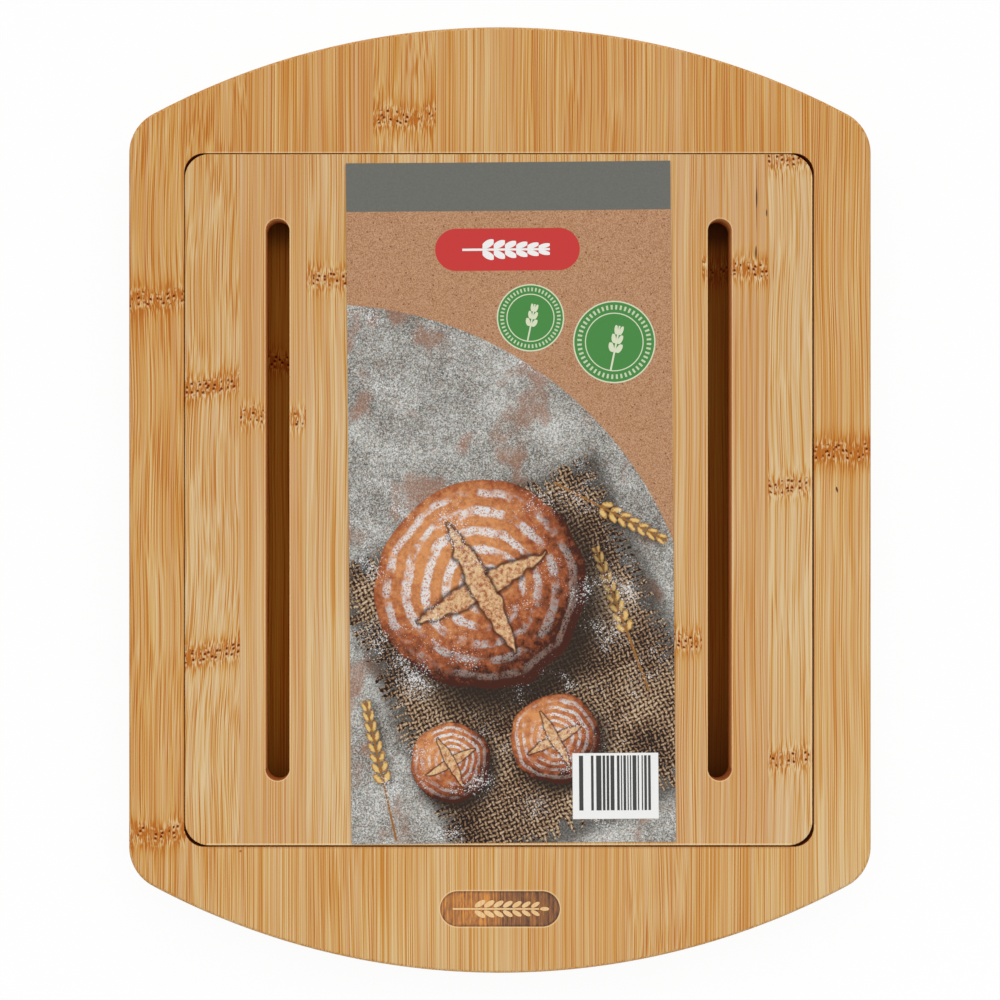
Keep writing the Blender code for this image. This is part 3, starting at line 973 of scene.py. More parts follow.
def milled_walls(b, at, colour, from_slot, seam, gap_walls):
    """Walls inside seam, which is a box in plan and the level of the faces above them. The slots'
    walls are gold, and painted shade darkens the walls lower down.
    """
    *corners, level = seam
    inner = from_slot < SLOT_WALL
    walls = (depth_within(at.x, at.y, *corners) > 0.0) * at.z.rise(level - 0.02, level - 0.1)
    # painted shade: slot walls darken with depth, and the near ends of the slots are darker at every
    # depth
    near_end = (at.y < slots.centre - slots.half) * 0.75
    depth_shade = inner * at.z.rise(level - 3.0, level - 13.0).high(near_end)
    if gap_walls:
        # painted brown shade on the pocket walls, from just under the top, fading out towards their foot
        gap_wall_shade = (1 - inner) * at.z.rise(level - 0.2, level - 0.5) * at.z.rise(level - 14.0, level - 6.0)
        colour = b.mix(walls * gap_wall_shade * 0.6, colour, KNUCKLE_AND_SHADE_BROWN)
        depth_shade = depth_shade + gap_wall_shade
    colour = b.mix(walls * inner * 0.6, colour, MILLED_GOLD)
    return b.mix(walls * depth_shade, colour, b.mix(1.0, colour, SEAM_SHADE_TINT, "MULTIPLY"))


def edge_highlights_and_shade(b, at, colour, from_slot, seam):
    """Painted highlight and shade lines beside the gap, and a painted highlight round the slots."""
    (left, near), (right, far), level = seam
    within = depth_within(at.x, at.y, (left, near), (right, far))
    beyond = -within
    clear_of_corners = (at.x > left + CORNER_KEPT) * (at.x < right - CORNER_KEPT)
    straight = clear_of_corners.high(abs(at.y) < far - CORNER_KEPT)
    far_side = at.y > far - SIDE_REACH
    highlight_side = (at.y < near + SIDE_REACH).high(at.x > right - SIDE_REACH)
    # painted highlight on the insert's near and right edges, and on the rim past the far gap
    pale = within.rise(0.7, 0.8) * within.rise(1.5, 1.3) * highlight_side
    pale = pale + beyond.rise(0.0, 0.1) * beyond.rise(0.6, 0.4) * far_side * 0.7
    colour = b.mix(pale * straight * 0.6, colour, PALE_AND_HIGHLIGHT)
    # painted brown shade line on the rim beside the near and side gaps
    browned = beyond.rise(0.0, 0.1) * beyond.rise(0.7, 0.4) * (1 - far_side)
    colour = b.mix(browned * straight * 0.5, colour, KNUCKLE_AND_SHADE_BROWN)
    # painted highlight round the slots' edges
    slot_highlight = at.z.rise(level - 0.5, level - 0.3) * from_slot.rise(0.65, 0.3)
    return b.mix(slot_highlight * 0.4, colour, PALE_AND_HIGHLIGHT)


print(f"the slots' middles lie {slots.out:.1f} mm to each side of {slots.middle:.1f} mm")

# %% [markdown]
# The plaque is burnt: patchy brown, darker towards its edge and on its right half, with a few pale
# lines of fibre left. The material works out its outline from the same sizes that cut it. The ear
# stands up in it at the level of the rim, and the heat stops below that level, so it stays pale.

# %% The burnt plaque
BURNT_COLOURS = (
    (0.0, paint(214, 142, 66)), (0.22, paint(176, 116, 66)), (0.5, paint(140, 90, 56)),
    (0.8, paint(98, 68, 54)), (1.0, paint(72, 50, 42)),
)
BURNT_SHARE = 0.95


def scorch(b, at, colour, shown, burn):
    """The colour with the plaque burnt in. burn is its middle, its half size and a level in it."""
    (middle_x, middle_y), (half_x, half_y), level = burn
    past_straight = (abs(at.x - middle_x) - (half_x - half_y)).high(0.0)
    off = at.y - middle_y
    outside = (past_straight * past_straight + off * off).root() - half_y
    sunk = (outside < 0.3) * (at.z < level)
    fine = b.noise(at.x / 0.4, at.y / 8, 0.5, 1) - 0.5
    patches = b.noise(at.x / 1.6, at.y / 5, 3.5, 3, 0.7) - 0.5
    heat = 0.34 + (at.x > middle_x) * 0.36 + patches * 1.3 + fine * 0.9 - (shown - 0.5) * 0.3
    heat = heat + outside.rise(-1.2, 0.0) * 0.35
    brown = b.node("ShaderNodeValToRGB", {"stops": BURNT_COLOURS}, {"Fac": heat})
    lines = b.noise(at.x / 0.8, at.y / 200, 7.5).rise(0.70, 0.76)
    brown = b.mix(lines * 0.8, brown, BURNT_COLOURS[0][1])
    halo = outside.rise(0.7, 0.35) * outside.rise(0.0, 0.1)
    colour = b.mix(halo * 0.45, colour, PALE_AND_HIGHLIGHT)
    colour = b.mix(outside.rise(-0.5, -0.7) * (at.z > level) * 0.55, colour, PALE_AND_HIGHLIGHT)
    return b.mix(sunk * BURNT_SHARE, colour, brown)


print(f"{len(BURNT_COLOURS)} browns from toasted to burnt")

# %% [markdown]
# The bamboo is these layers one over another. The fibres also give the bump, so that light catches
# the same lines that the colour shows, and pores and glue lines sink in. The wood is oiled to a
# satin sheen, a little smoother on the pale ground than on the fibres and in the pores.

# %% The bamboo material
GRAIN_BUMP = 0.03 * MM


def bamboo(name, tint=None, recess=None, seam=None, gap_walls=False, burn=None, flaws=(), gloss=0.15):
    """Glued bamboo strips. recess and seam place painted shade and highlights, burn the plaque."""
    b = Bench(name)
    at = read_strip(b)
    shown, colour = with_knuckles(b, at, fibre_shade(b, at))
    colour, pores = with_pores(b, at, colour)
    colour, joint = with_glue(b, at, colour)
    if recess:
        colour = with_recess_shade(b, at, colour, tint, recess)
    elif tint:
        colour = b.mix(1.0, colour, (*tint, 1.0), "MULTIPLY")
    for flaw in flaws:
        colour = with_flaw(b, at, colour, flaw)
    if seam:
        from_slot = from_slots(at)
        colour = milled_walls(b, at, colour, from_slot, seam, gap_walls)
        colour = edge_highlights_and_shade(b, at, colour, from_slot, seam)
    if burn:
        colour = scorch(b, at, colour, shown, burn)
    height = shown * 0.6 - pores * 2 - joint
    roughness = 0.66 - shown * 0.08 + pores * 0.2
    return b.surface(colour, roughness, height, GRAIN_BUMP, **{"Specular IOR Level": gloss})


print(f"the grain's bump has a distance of {GRAIN_BUMP / MM:.2f} mm")

# %% [markdown]
# ## Every strip its own look
#
# No two strips are alike. Some are paler, some have straight even fibres and others short dashes
# that sway, and each has its knuckles where they happened to fall. These are listed for each strip
# and written on its faces.

# %% What differs from strip to strip
# One field of a look is the share of painted shade that a strip takes in the recess.
Look = namedtuple("Look", "tone dashes slant knuckles lean blush fade skew stain char",
                  defaults=(0, 0, 1, (), 0, 0, 0, 0, 0, 0))

RIM_LOOKS = {
    "rail_left": Look(-0.03, 0.14, 3.0, (81.0, -133.7), fade=0.05),
    "rail_right": Look(0.12, 0.05, 2.0, (19.2,), fade=0.09, char=0.36),
    "far": [
        Look(-0.08, 0.35, 4.0), Look(-0.09), Look(-0.07, 0.02, blush=0.15),
        Look(0.0, 0.30, 3.0, (153.7,), char=-0.1), Look(0.02), Look(0.01, 0.03),
        Look(-0.06, 0.12, 2.0, blush=0.1), Look(0.04, 0.02, blush=0.1), Look(-0.07, 0.03),
        Look(-0.02, 0.02),
    ],
    "near": [
        Look(0.14, 0.10), Look(0.12), Look(0.01, 0.10, 2.0), Look(0.13), Look(0.17),
        Look(0.19, 0.03, blush=0.1), Look(0.04, 0.02, blush=0.1), Look(0.08, 0.18, 2.0, blush=0.1),
        Look(0.05), Look(0.10),
    ],
}
INSERT_LOOKS = [
    Look(0.12, 0.2, 4.0, (45.7, -61.8), 0.2, fade=0.05, skew=-0.02),
    Look(0.06, 0.0, 1.0, (33.3,), blush=0.22, fade=0.05, char=-0.3),
    Look(0.19, 0.05, 1.5, (89.0,), fade=0.05, char=-0.15),
    Look(0.14), Look(0.10), Look(0.14), Look(0.12),
    Look(0.16, 0.03, 1.5, (-57.0,), blush=0.15, char=-0.12),
    Look(0.09, 0.03, 1.5, (93.1,), blush=0.25, char=-0.1),
    Look(0.22, 0.12, 4.0, (136.8, 6.0, -103.6), char=-0.26),
]
FLOOR_TONES = (0.03, 0.0, 0.0, 0.08, -0.05, 0.05, 0.0, -0.07, 0.04, 0.0, 0.0, -0.04)
FLOOR_KNUCKLES = (40, -90, 56.7, 120, -20, 75, -130, 10, -60, 93.6, -35, 130)
# painted shade: the floor's strips from the eighth on take a larger share of it in the recess
SHADED_FROM, SHADE_SHARE = 7, 0.45         # the floor's strips on the right have gone darker
FLOOR_LOOKS = [Look(tone, 0.05, 2.0, (place,), stain=SHADE_SHARE if i >= SHADED_FROM else 0.0)
               for i, (tone, place) in enumerate(zip(FLOOR_TONES, FLOOR_KNUCKLES))]
CORE_LOOKS = [Look(-0.12, 0.05, 2.0, (30.0,)), Look(-0.08, 0.1, 2.0), Look(-0.10, 0.05, 2.0, (-70.0,))]
print(f"{2 + len(RIM_LOOKS['far']) + len(RIM_LOOKS['near'])} looks for the rim, {len(INSERT_LOOKS)}",
      f"for the cutting board, {len(FLOOR_LOOKS)} for the floor and {len(CORE_LOOKS)} between them")

# %% Write the looks on the faces
FAR_AWAY = 9999.0               # where a knuckle lies that a strip does not have
MOST_KNUCKLES = 3
FIRST_SEEDS = {"rim": 1, "core": 21, "recess_floor": 31, "cutting_board": 51}


def write_looks(piece, joints, look_of):
    """Writes on every face which strip it belongs to and what that strip looks like."""
    mesh = piece.data
    low, high = panel_box(piece)
    edges = [low.x / MM, *(x / MM for x in joints), high.x / MM]
    columns = {"strip": [], "look": [], "knuckles": [], "extra": [], "grain": []}
    for face in mesh.polygons:
        x, y = face.center.x / MM, face.center.y / MM
        place = sum(x > edge for edge in edges[1:-1])
        look = look_of(place, y)
        near_half = y < 0 and look is not look_of(place, 1.0)
        seed = FIRST_SEEDS[piece.name] + place + (0.5 if near_half else 0.0)
        columns["strip"] += [edges[place], edges[place + 1], seed]
        columns["look"] += [look.tone, look.dashes, look.slant]
        columns["knuckles"] += ([*look.knuckles] + [FAR_AWAY] * MOST_KNUCKLES)[:MOST_KNUCKLES]
        columns["extra"] += [look.lean, look.blush, look.fade]
        columns["grain"] += [look.skew, look.stain, look.char]
    for name, values in columns.items():
        mesh.attributes.new(name, "FLOAT_VECTOR", "FACE").data.foreach_set("vector", values)
    print(f"{piece.name}: {len(mesh.polygons)} faces know their strip")


def rim_look(place, y):
    """The rim has a rail on each side and, between them, strips at the far and the near end."""
    if place in (0, len(rim_joints)):
        return RIM_LOOKS["rail_left" if place == 0 else "rail_right"]
    return RIM_LOOKS["far" if y > 0 else "near"][place - 1]


# %% [markdown]
# Bamboo also has small flaws: a fine crack beside a glue line, and dark spots where a fibre has
# torn. Each is a thin spindle of darker colour, because a hairline crack is far narrower than
# anything that a mesh should be cut for.

# %% Small flaws
Flaw = namedtuple("Flaw", "middle half lean colour strength")
CRACK_DARK, CRACK_BROWN, CRACK_GREY = paint(64, 32, 18), paint(150, 84, 42), paint(72, 58, 46)
INSERT_FLAWS = [
    Flaw((103.0, 122.0), (0.30, 15.0), 0.0, CRACK_BROWN, 0.75),
    Flaw((103.0, 121.2), (0.32, 4.4), 0.0, CRACK_DARK, 0.9),
    Flaw((102.7, 99.4), (0.36, 2.9), 0.03, CRACK_GREY, 0.9),
    Flaw((107.0, 115.2), (0.30, 1.7), 0.0, CRACK_GREY, 0.9),
]
RIM_FLAWS = [
    Flaw((135.2, 4.2), (0.42, 1.3), -0.2, CRACK_DARK, 0.95),
    Flaw((-104.1, -140.9), (0.5, 0.6), 0.0, CRACK_BROWN, 0.8),
]


def with_flaw(b, at, colour, flaw):
    """A crack or a spot: a spindle along the grain, with a lean."""
    past = (at.y - flaw.middle[1]) / flaw.half[1]
    width = (1 - past * past).high(0.0) * flaw.half[0]
    off = abs(at.x - flaw.middle[0] - (at.y - flaw.middle[1]) * flaw.lean)
    mask = (off - width).rise(0.1, -0.1) * (width > 0.02) * flaw.strength
    return b.mix(mask, colour, flaw.colour)


print(f"{len(INSERT_FLAWS)} flaws in the cutting board and {len(RIM_FLAWS)} in the rim")

# %% [markdown]
# Now the four plies are glued up, each from a bamboo of its own. The cutting board is a shade
# cooler than the rim. The walls of the pocket belong to the rim, so the rim's bamboo alone has
# the painted shade of the gap. The middle ply and the floor have the painted shade of the recess.

# %% Glue up and finish the four plies
WALL_REACH = 0.05 * MM          # takes the walls themselves into a box
INSERT_TINT = (1.0, 1.03, 1.12)
# the next two are the recess's painted shade, on the middle ply and on the floor
INNER_SHADE_TINT = (0.8, 0.7, 0.55)
FLOOR_SHADE_TINT = (0.52, 0.30, 0.065)
FLOOR_GLOSS = 0.05
FLOOR_SKIN = 0.1                # millimetres of the floor ply that the recess has tinted


def wall_box(low, high):
    """A box in millimetres that just takes in its own walls."""
    return [tuple((value + side * WALL_REACH) / MM for value in corner[:2])
            for corner, side in ((low, -1), (high, 1))]


seam = (*wall_box(pocket_low, pocket_high), FACE_LEVEL / MM)
recess = wall_box(opening_low, opening_high)
burn = [tuple(value / MM for value in pair) for pair in (PLAQUE_MIDDLE, PLAQUE_HALF)]
burn.append((FACE_LEVEL - PLAQUE_DEPTH / 2) / MM)

rim_bamboo = bamboo("rim bamboo", seam=seam, gap_walls=True, burn=burn, flaws=RIM_FLAWS)
core_bamboo = bamboo("core bamboo", INNER_SHADE_TINT, (*recess, 0.0))
floor_recess = (*recess, floor_top / MM - FLOOR_SKIN)
floor_bamboo = bamboo("floor bamboo", FLOOR_SHADE_TINT, floor_recess, gloss=FLOOR_GLOSS)
insert_bamboo = bamboo("cutting board bamboo", INSERT_TINT, seam=seam, flaws=INSERT_FLAWS)

rim = glue_ply("rim", rim_panel, rim_joints, rim_bamboo)
core = glue_ply("core", core_panel, core_joints, core_bamboo)
floor_ply = glue_ply("recess_floor", floor_panel, floor_joints, floor_bamboo)
insert = glue_ply("cutting_board", insert_panel, insert_joints, insert_bamboo)
write_looks(rim, rim_joints, rim_look)
write_looks(core, core_joints, lambda place, y: CORE_LOOKS[place])
write_looks(floor_ply, floor_joints, lambda place, y: FLOOR_LOOKS[place])
write_looks(insert, insert_joints, lambda place, y: INSERT_LOOKS[place])

# %% [markdown]
# Each finished ply takes the place of the measured strips in it and the body they move with. Rim,
# core and floor are the base, which stays where it is. The cutting board is a body of its own,
# because it lifts out.

# %% Say what each piece stands for
base_pieces = {
    rim: ("rim_bamboo", ["rim_rail_left", "rim_rail_right", *rim_far, *rim_near]),
    core: ("inner_bamboo", ["core_rail_left", "core_rail_right", "core_end_far", "core_end_near"]),
    floor_ply: ("inner_bamboo", floor_strips),
}
for piece, (slot, nodes) in base_pieces.items():
    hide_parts(*nodes)
    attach(piece, "base")
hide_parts(*insert_strips)
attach(insert, "insert")
print(f"{sum(len(nodes) for slot, nodes in base_pieces.values())} pieces of wood in the base")

# %% [markdown]
# ## The printed card
#
# A loose card lies on the cutting board, printed on kraft paper. It is thin and a little curled, so
# its long edges stand off the wood and throw a soft shadow on it. A sheet bent by a formula and
# given a back and edges shows that; the flat box of the measured model can't.

# %% Bend the card
card_low, card_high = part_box("label_card")
CARD_WIDTH, CARD_LENGTH = 130.0 * MM, 273.0 * MM
CARD_TURN = math.radians(0.49)
CARD_THICKNESS = 0.4 * MM
CARD_LIFT = 0.05 * MM           # what its middle keeps clear of the wood
CARD_CURL = 0.55 * MM           # how much higher the long edges stand
CURL_POWER = 2.5                # the higher, the nearer to the edges the curl begins
CARD_WAVE = 0.08 * MM
CARD_STEPS = (40, 60)
card_middle = ((card_low.x + card_high.x) / 2, (card_low.y + card_high.y) / 2)


def card_height(across, along):
    """How high the underside stands above its lowest level. Both shares run from -1 to 1."""
    wave = math.sin(along * 5.0 + across) * math.cos(across * 2.0)
    return CARD_CURL * abs(across) ** CURL_POWER + CARD_WAVE * (1 + wave) / 2


def card_point(across, along, thickness):
    """A point of the card, from shares of its width and length that run from -1 to 1."""
    u, v = across * CARD_WIDTH / 2, along * CARD_LENGTH / 2
    x = card_middle[0] + u * math.cos(CARD_TURN) - v * math.sin(CARD_TURN)
    y = card_middle[1] + u * math.sin(CARD_TURN) + v * math.cos(CARD_TURN)
    return x, y, insert_high.z + CARD_LIFT + card_height(across, along) + thickness


def bent_card(name, print_material, stock_material):
    """A closed sheet: printed on top, plain at the edges and below."""
    shape = bmesh.new()
    columns, rows = CARD_STEPS
    width = columns + 1
    shares = [(2 * i / columns - 1, 2 * j / rows - 1) for j in range(rows + 1) for i in range(width)]
    under, over = [[shape.verts.new(card_point(*share, thickness)) for share in shares]
                   for thickness in (0.0, CARD_THICKNESS)]
    for j in range(rows):
        for i in range(columns):
            corner = j * width + i
            square = (corner, corner + 1, corner + width + 1, corner + width)
            shape.faces.new([over[k] for k in square]).material_index = 0
            shape.faces.new([under[k] for k in reversed(square)]).material_index = 1
    edge_walk = [*range(columns), *(j * width + columns for j in range(rows)),
                 *(rows * width + i for i in range(columns, 0, -1)),
                 *(j * width for j in range(rows, 0, -1))]
    for a, b in zip(edge_walk, edge_walk[1:] + edge_walk[:1]):
        shape.faces.new((under[a], under[b], over[b], over[a])).material_index = 1
    mesh = bpy.data.meshes.new(name)
    shape.to_mesh(mesh)
    shape.free()
    mesh.materials.append(print_material)
    mesh.materials.append(stock_material)
    mesh.shade_smooth()
    mesh.set_sharp_from_angle(angle=SHARP_FROM)
    return add_piece(name, mesh)


edge_up, middle_up = card_height(1, 0) / MM, card_height(0, 0) / MM
print(f"the card's long edges stand {edge_up:.2f} mm up, its middle {middle_up:.2f} mm")

# %% [markdown]
# The print is drawn by the material itself, in millimetres from the card's middle. A Mapping node
# centres and turns that drawing on the card. Each shape is a distance: below zero inside it and
# above zero outside, and a short climb between the two gives a clean printed edge. The design is a
# plain one of its own: kraft paper, a red label and green roundels with ears of wheat, and a
# picture of a round loaf on sacking.

# %% Distances to flat shapes
PRINT_EDGE = 0.12               # millimetres over which a printed edge goes from nothing to full


def inside(distance, soft=PRINT_EDGE):
    """1 inside a shape and 0 outside, from the distance to its edge."""
    return distance.rise(soft, -soft)


def disc(u, v, middle, radius):
    """The distance to a disc's edge."""
    across, along = u - middle[0], v - middle[1]
    return (across * across + along * along).root() - radius


def box(u, v, middle, half, radius=0.0):
    """The distance to the edge of a rectangle with round corners."""
    across = abs(u - middle[0]) - (half[0] - radius)
    along = abs(v - middle[1]) - (half[1] - radius)
    beyond_u, beyond_v = across.high(0.0), along.high(0.0)
    return (beyond_u * beyond_u + beyond_v * beyond_v).root() + across.high(along).low(0.0) - radius


def turned(u, v, middle, degrees):
    """The same place measured from another middle, along turned axes."""
    sine, cosine = math.sin(math.radians(degrees)), math.cos(math.radians(degrees))
    across, along = u - middle[0], v - middle[1]
    return across * cosine + along * sine, along * cosine - across * sine


print(f"a printed edge is {PRINT_EDGE} mm soft")

# %% [markdown]
# One recipe draws every ear of wheat, printed flat or in the picture. A stretch of stem is folded
# onto itself, so one slanting grain gives the whole row, and its mirror image the other side.

# %% An ear of wheat
GRAIN_SLANT = 0.45              # radians
GRAIN_HALF = (0.27, 0.62)       # of the pitch, across a grain and along it


def wheat(s, t, length, pitch, fat=1.0, stem_share=0.7):
    """An ear that grows along t: 1 on it and 0 beside it, and a grain's own reach, 1 at its edge."""
    grown = (t / length).high(0.0).low(1.0)
    local = t - ((t / pitch).whole() + 0.5) * pitch
    side = abs(s) / ((1.15 - grown * 0.55) * fat) - pitch * 0.42
    across = side * math.cos(GRAIN_SLANT) - local * math.sin(GRAIN_SLANT)
    along = side * math.sin(GRAIN_SLANT) + local * math.cos(GRAIN_SLANT)
    across, along = across / (pitch * GRAIN_HALF[0]), abs(along) / (pitch * GRAIN_HALF[1])
    reach = (across ** 2.0 + along ** 2.0).root()
    grains = reach.rise(1.06, 0.94) * (t > 0.0) * (t < length)
    stem = abs(s).rise(pitch * 0.13, pitch * 0.07) * (t > -length * stem_share) * (t < length)
    return grains.high(stem), reach


print(f"the grains slant by {math.degrees(GRAIN_SLANT):.0f} degrees")

# %% [markdown]
# Kraft paper is brown with fine fibres and a few darker chips. It is a plain colour under noise of
# two sizes, with scattered cells for the chips.

# %% Kraft paper
KRAFT_DARK, KRAFT_PALE = paint(150, 102, 66), paint(198, 156, 122)
CHIP_BROWN = paint(104, 66, 44)
CHIP_PITCH = 7.0


def kraft(b, u, v):
    """The colour of kraft paper."""
    grain = b.noise(u / 0.42, v / 0.45, 2.5, 2, 0.7)
    fibres = b.noise(u / 1.6, v / 0.35, 7.5)
    colour = b.mix(grain.rise(0.30, 0.70), KRAFT_DARK, KRAFT_PALE)
    colour = b.mix(fibres.rise(0.55, 0.75) * 0.3, colour, KRAFT_PALE)
    chips = b.cells(u / CHIP_PITCH, v / CHIP_PITCH).rise(0.06, 0.03)
    return b.mix(chips * 0.85, colour, CHIP_BROWN)


print(f"kraft paper with a chip about every {CHIP_PITCH:.0f} mm")

# %% [markdown]
# The picture's ground is a worn slate, blue-grey with rust and flour dust. Sacking lies on it:
# threads of jute that pass over and under each other about every two millimetres, with dark holes
# between them and a frayed edge. It is printed, so a picture drawn by waves is enough: a sine makes
# the threads round, and their numbers tell which of two is on top.

# %% Slate and sacking
SLATE_DARK, SLATE_BLUE, SLATE_PALE = paint(84, 80, 74), paint(148, 147, 141), paint(216, 217, 212)
SLATE_RUST = paint(150, 108, 84)
FLOUR_WHITE = paint(226, 226, 226)
JUTE_COLOURS = ((0.54, paint(22, 14, 12)), (0.62, paint(72, 48, 34)), (0.84, paint(136, 106, 78)),
                (1.15, paint(206, 184, 154)))
JUTE_TOP = 1.2                  # a colour ramp ends at 1, so heights are shares of this one
WEAVE_PITCH = 1.9
UNDER = 0.26                    # how much lower a thread is where another passes over it


def slate(b, u, v):
    """The colour of worn slate."""
    broad = b.noise(u / 24, v / 24, 1.5, 5, 0.7)
    fine = b.noise(u / 0.55, v / 0.55, 4.5, 2, 0.75)
    tone = (broad - 0.5) * 1.4 + (fine - 0.5) * 3.0 + 0.50
    stops = ((0.0, SLATE_DARK), (0.45, SLATE_BLUE), (1.0, SLATE_PALE))
    colour = b.node("ShaderNodeValToRGB", {"stops": stops}, {"Fac": tone})
    rust = b.noise(u / 16, v / 20, 9.5, 2, 0.6).rise(0.52, 0.68)
    rust = rust + b.noise(u / 0.7, v / 0.7, 12.5, 1).rise(0.5, 0.7) * 0.6
    return b.mix(rust * 0.6, colour, SLATE_RUST)


def sacking(b, s, t):
    """Plain weave: where one thread is on top, the one across it dips, with holes between them."""
    bent_s = (s + (b.noise(s / 9, t / 4, 0.5) - 0.5) * 2.0) / WEAVE_PITCH
    bent_t = (t + (b.noise(s / 4, t / 9, 3.5) - 0.5) * 2.0) / WEAVE_PITCH
    warp_number, weft_number = bent_s.whole(), bent_t.whole()
    warp = abs((bent_s * math.pi).sine()) * (0.80 + b.noise(warp_number * 3.7, t / 12, 5.5) * 0.4)
    weft = abs((bent_t * math.pi).sine()) * (0.80 + b.noise(weft_number * 3.7, s / 12, 2.5) * 0.4)
    on_top = ((warp_number + weft_number) * 0.5).part() > 0.25
    height = (warp * (1 - UNDER + on_top * UNDER)).high(weft * (1 - on_top * UNDER))
    hairs = b.noise(s / 0.4, t / 0.4, 6.5, 1)
    tone = height + (hairs - 0.5) * 0.9 + (b.noise(s / 16, t / 16, 8.5) - 0.5) * 0.5 - 0.06
    stops = [(place / JUTE_TOP, colour) for place, colour in JUTE_COLOURS]
    return b.node("ShaderNodeValToRGB", {"stops": stops}, {"Fac": tone / JUTE_TOP})


print(f"sacking with a thread every {WEAVE_PITCH} mm")

# %% [markdown]
# A round loaf is a dome: the colour darkens towards its edge and on the side away from the light.
# Flour lies on it in the rings of the basket it rose in, and a cross cut in the top has opened and
# baked paler. Two rolls are drawn with the same nodes: each point is measured from the middle of
# the loaf that it lies on, in shares of that loaf's radius.

# %% The loaf and the rolls
CRUST_DARK, CRUST_BROWN, CRUST_GOLD = paint(62, 28, 18), paint(158, 86, 50), paint(212, 146, 92)
CRUMB = paint(224, 188, 142)
FLOUR_SHADED = paint(128, 108, 98)
LOAVES = (((-12.0, -34.0), 42.0), ((17.0, -95.0), 18.0), ((-25.0, -104.0), 16.0))
RINGS = 6                       # rings of flour from a loaf's middle to its edge
CROSS_TURN = 28
CUT_LENGTH, CUT_WIDTH = 0.72, 0.11      # half of a cut, as shares of the radius
ROLL_ROOM = 1.15                # how far round a roll its own measures hold, so that its edge has room


def on_a_loaf(u, v):
    """Where a point lies on its loaf, as shares of that loaf's radius, and the radius."""
    (middle, radius), *rolls = LOAVES
    across, along, size = (u - middle[0]) / radius, (v - middle[1]) / radius, radius
    for middle, radius in rolls:
        here = disc(u, v, middle, radius * ROLL_ROOM) < 0.0
        across = across + here * ((u - middle[0]) / radius - across)
        along = along + here * ((v - middle[1]) / radius - along)
        size = size + here * (radius - size)
    return across, along, size


def opened_cut(b, colour, u, v, along, across):
    """A cut in the crust: a dark lip and paler crumb that has torn open inside it."""
    open_width = (1 - (along / CUT_LENGTH) ** 2.0).high(0.0) * CUT_WIDTH
    gap = abs(across + (b.noise(u / 5, v / 5, 3.5, 1) - 0.5) * 0.1) - open_width
    colour = b.mix(gap.rise(0.05, 0.005) * 0.85 * (open_width > 0.001), colour, CRUST_DARK)
    torn = b.mix(b.noise(u / 1.4, v / 1.4, 9.5, 3, 0.65).rise(0.3, 0.65), CRUST_BROWN, CRUMB)
    return b.mix(gap.rise(0.005, -0.02) * (open_width > 0.005), colour, torn)


def loaf(b, u, v):
    """The loaves' colour and the distance to their edge."""
    across, along, size = on_a_loaf(u, v)
    uneven = (b.noise(across * 1.7, along * 1.7, size, 1) - 0.5) * 0.2
    share = (across * across + along * along).root() + uneven
    dome = (1 - share * share).high(0.0).root()
    light = dome * 0.66 + along * 0.30 - across * 0.26 + 0.02
    rough = b.noise(u / 2.8, v / 2.8, 5.5, 4, 0.68) - 0.5
    stops = ((0.05, CRUST_DARK), (0.42, CRUST_BROWN), (0.85, CRUST_GOLD))
    colour = b.node("ShaderNodeValToRGB", {"stops": stops}, {"Fac": light + rough * 1.3})

    rings = (share * (2 * math.pi * RINGS) + rough * 2.5).sine().rise(-0.2, 0.6)
    dust = rings * b.noise(u / 9, v / 9, 7.5, 2, 0.6).rise(0.36, 0.56) * share.rise(1.0, 0.86)
    speck = b.noise(u / 0.6, v / 0.6, 1.5, 1).rise(0.30, 0.55)
    floury = b.mix(light.rise(0.0, 0.8), FLOUR_SHADED, FLOUR_WHITE)
    colour = b.mix(dust * speck * 0.95, colour, floury)

    one, other = turned(across, along, (0.0, 0.0), CROSS_TURN)
    for cut_along, cut_across in ((one, other), (other, one)):
        colour = opened_cut(b, colour, u, v, cut_along, cut_across)
    return colour, (share - 1) * size


print("loaves with radii of", [radius for middle, radius in LOAVES], "mm")

# %% [markdown]
# The picture is laid down from the back: slate, the sacking and its shadow, ears of wheat, the loaf
# and its shadow, and flour dust over all.

# %% The picture
CLOTH_MIDDLE, CLOTH_HALF, CLOTH_TURN = (6.0, -66.0), (58.0, 68.0), 24
FRINGE = 7
WHEAT_GOLD, WHEAT_BROWN = paint(222, 186, 116), paint(146, 98, 48)
EARS = (((-52.0, -112.0), 12, 34.0), ((46.0, -52.0), 20, 36.0), ((36.0, -2.0), -118, 30.0))
EAR_PITCH, EAR_HALF = 4.2, 2.6
SHADOW_BROWN = (0.02, 0.012, 0.008, 1.0)


def shade(b, colour, distance, reach, depth):
    """Darkens what lies beside a shape, less and less away from it."""
    return b.mix(distance.rise(reach, -reach / 2) * depth, colour, SHADOW_BROWN)


def with_cloth(b, colour, u, v):
    """Sacking with a frayed edge, and its shadow."""
    s, t = turned(u, v, CLOTH_MIDDLE, CLOTH_TURN)
    stray = (b.noise(s / 4, t / 4, 2.5) - 0.5) * 3
    fringe_s = b.noise(s / 12, (t + stray) / 0.8, 8.5).rise(0.38, 0.62) * FRINGE
    fringe_t = b.noise((s + stray) / 0.8, t / 12, 4.5).rise(0.38, 0.62) * FRINGE
    cloth = (abs(s) - CLOTH_HALF[0] + fringe_s).high(abs(t) - CLOTH_HALF[1] + fringe_t)
    colour = shade(b, colour, box(s - 1.5, t + 2.0, (0.0, 0.0), CLOTH_HALF, 3.0), 6.0, 0.75)
    return b.mix(inside(cloth, 0.3), colour, sacking(b, s, t))


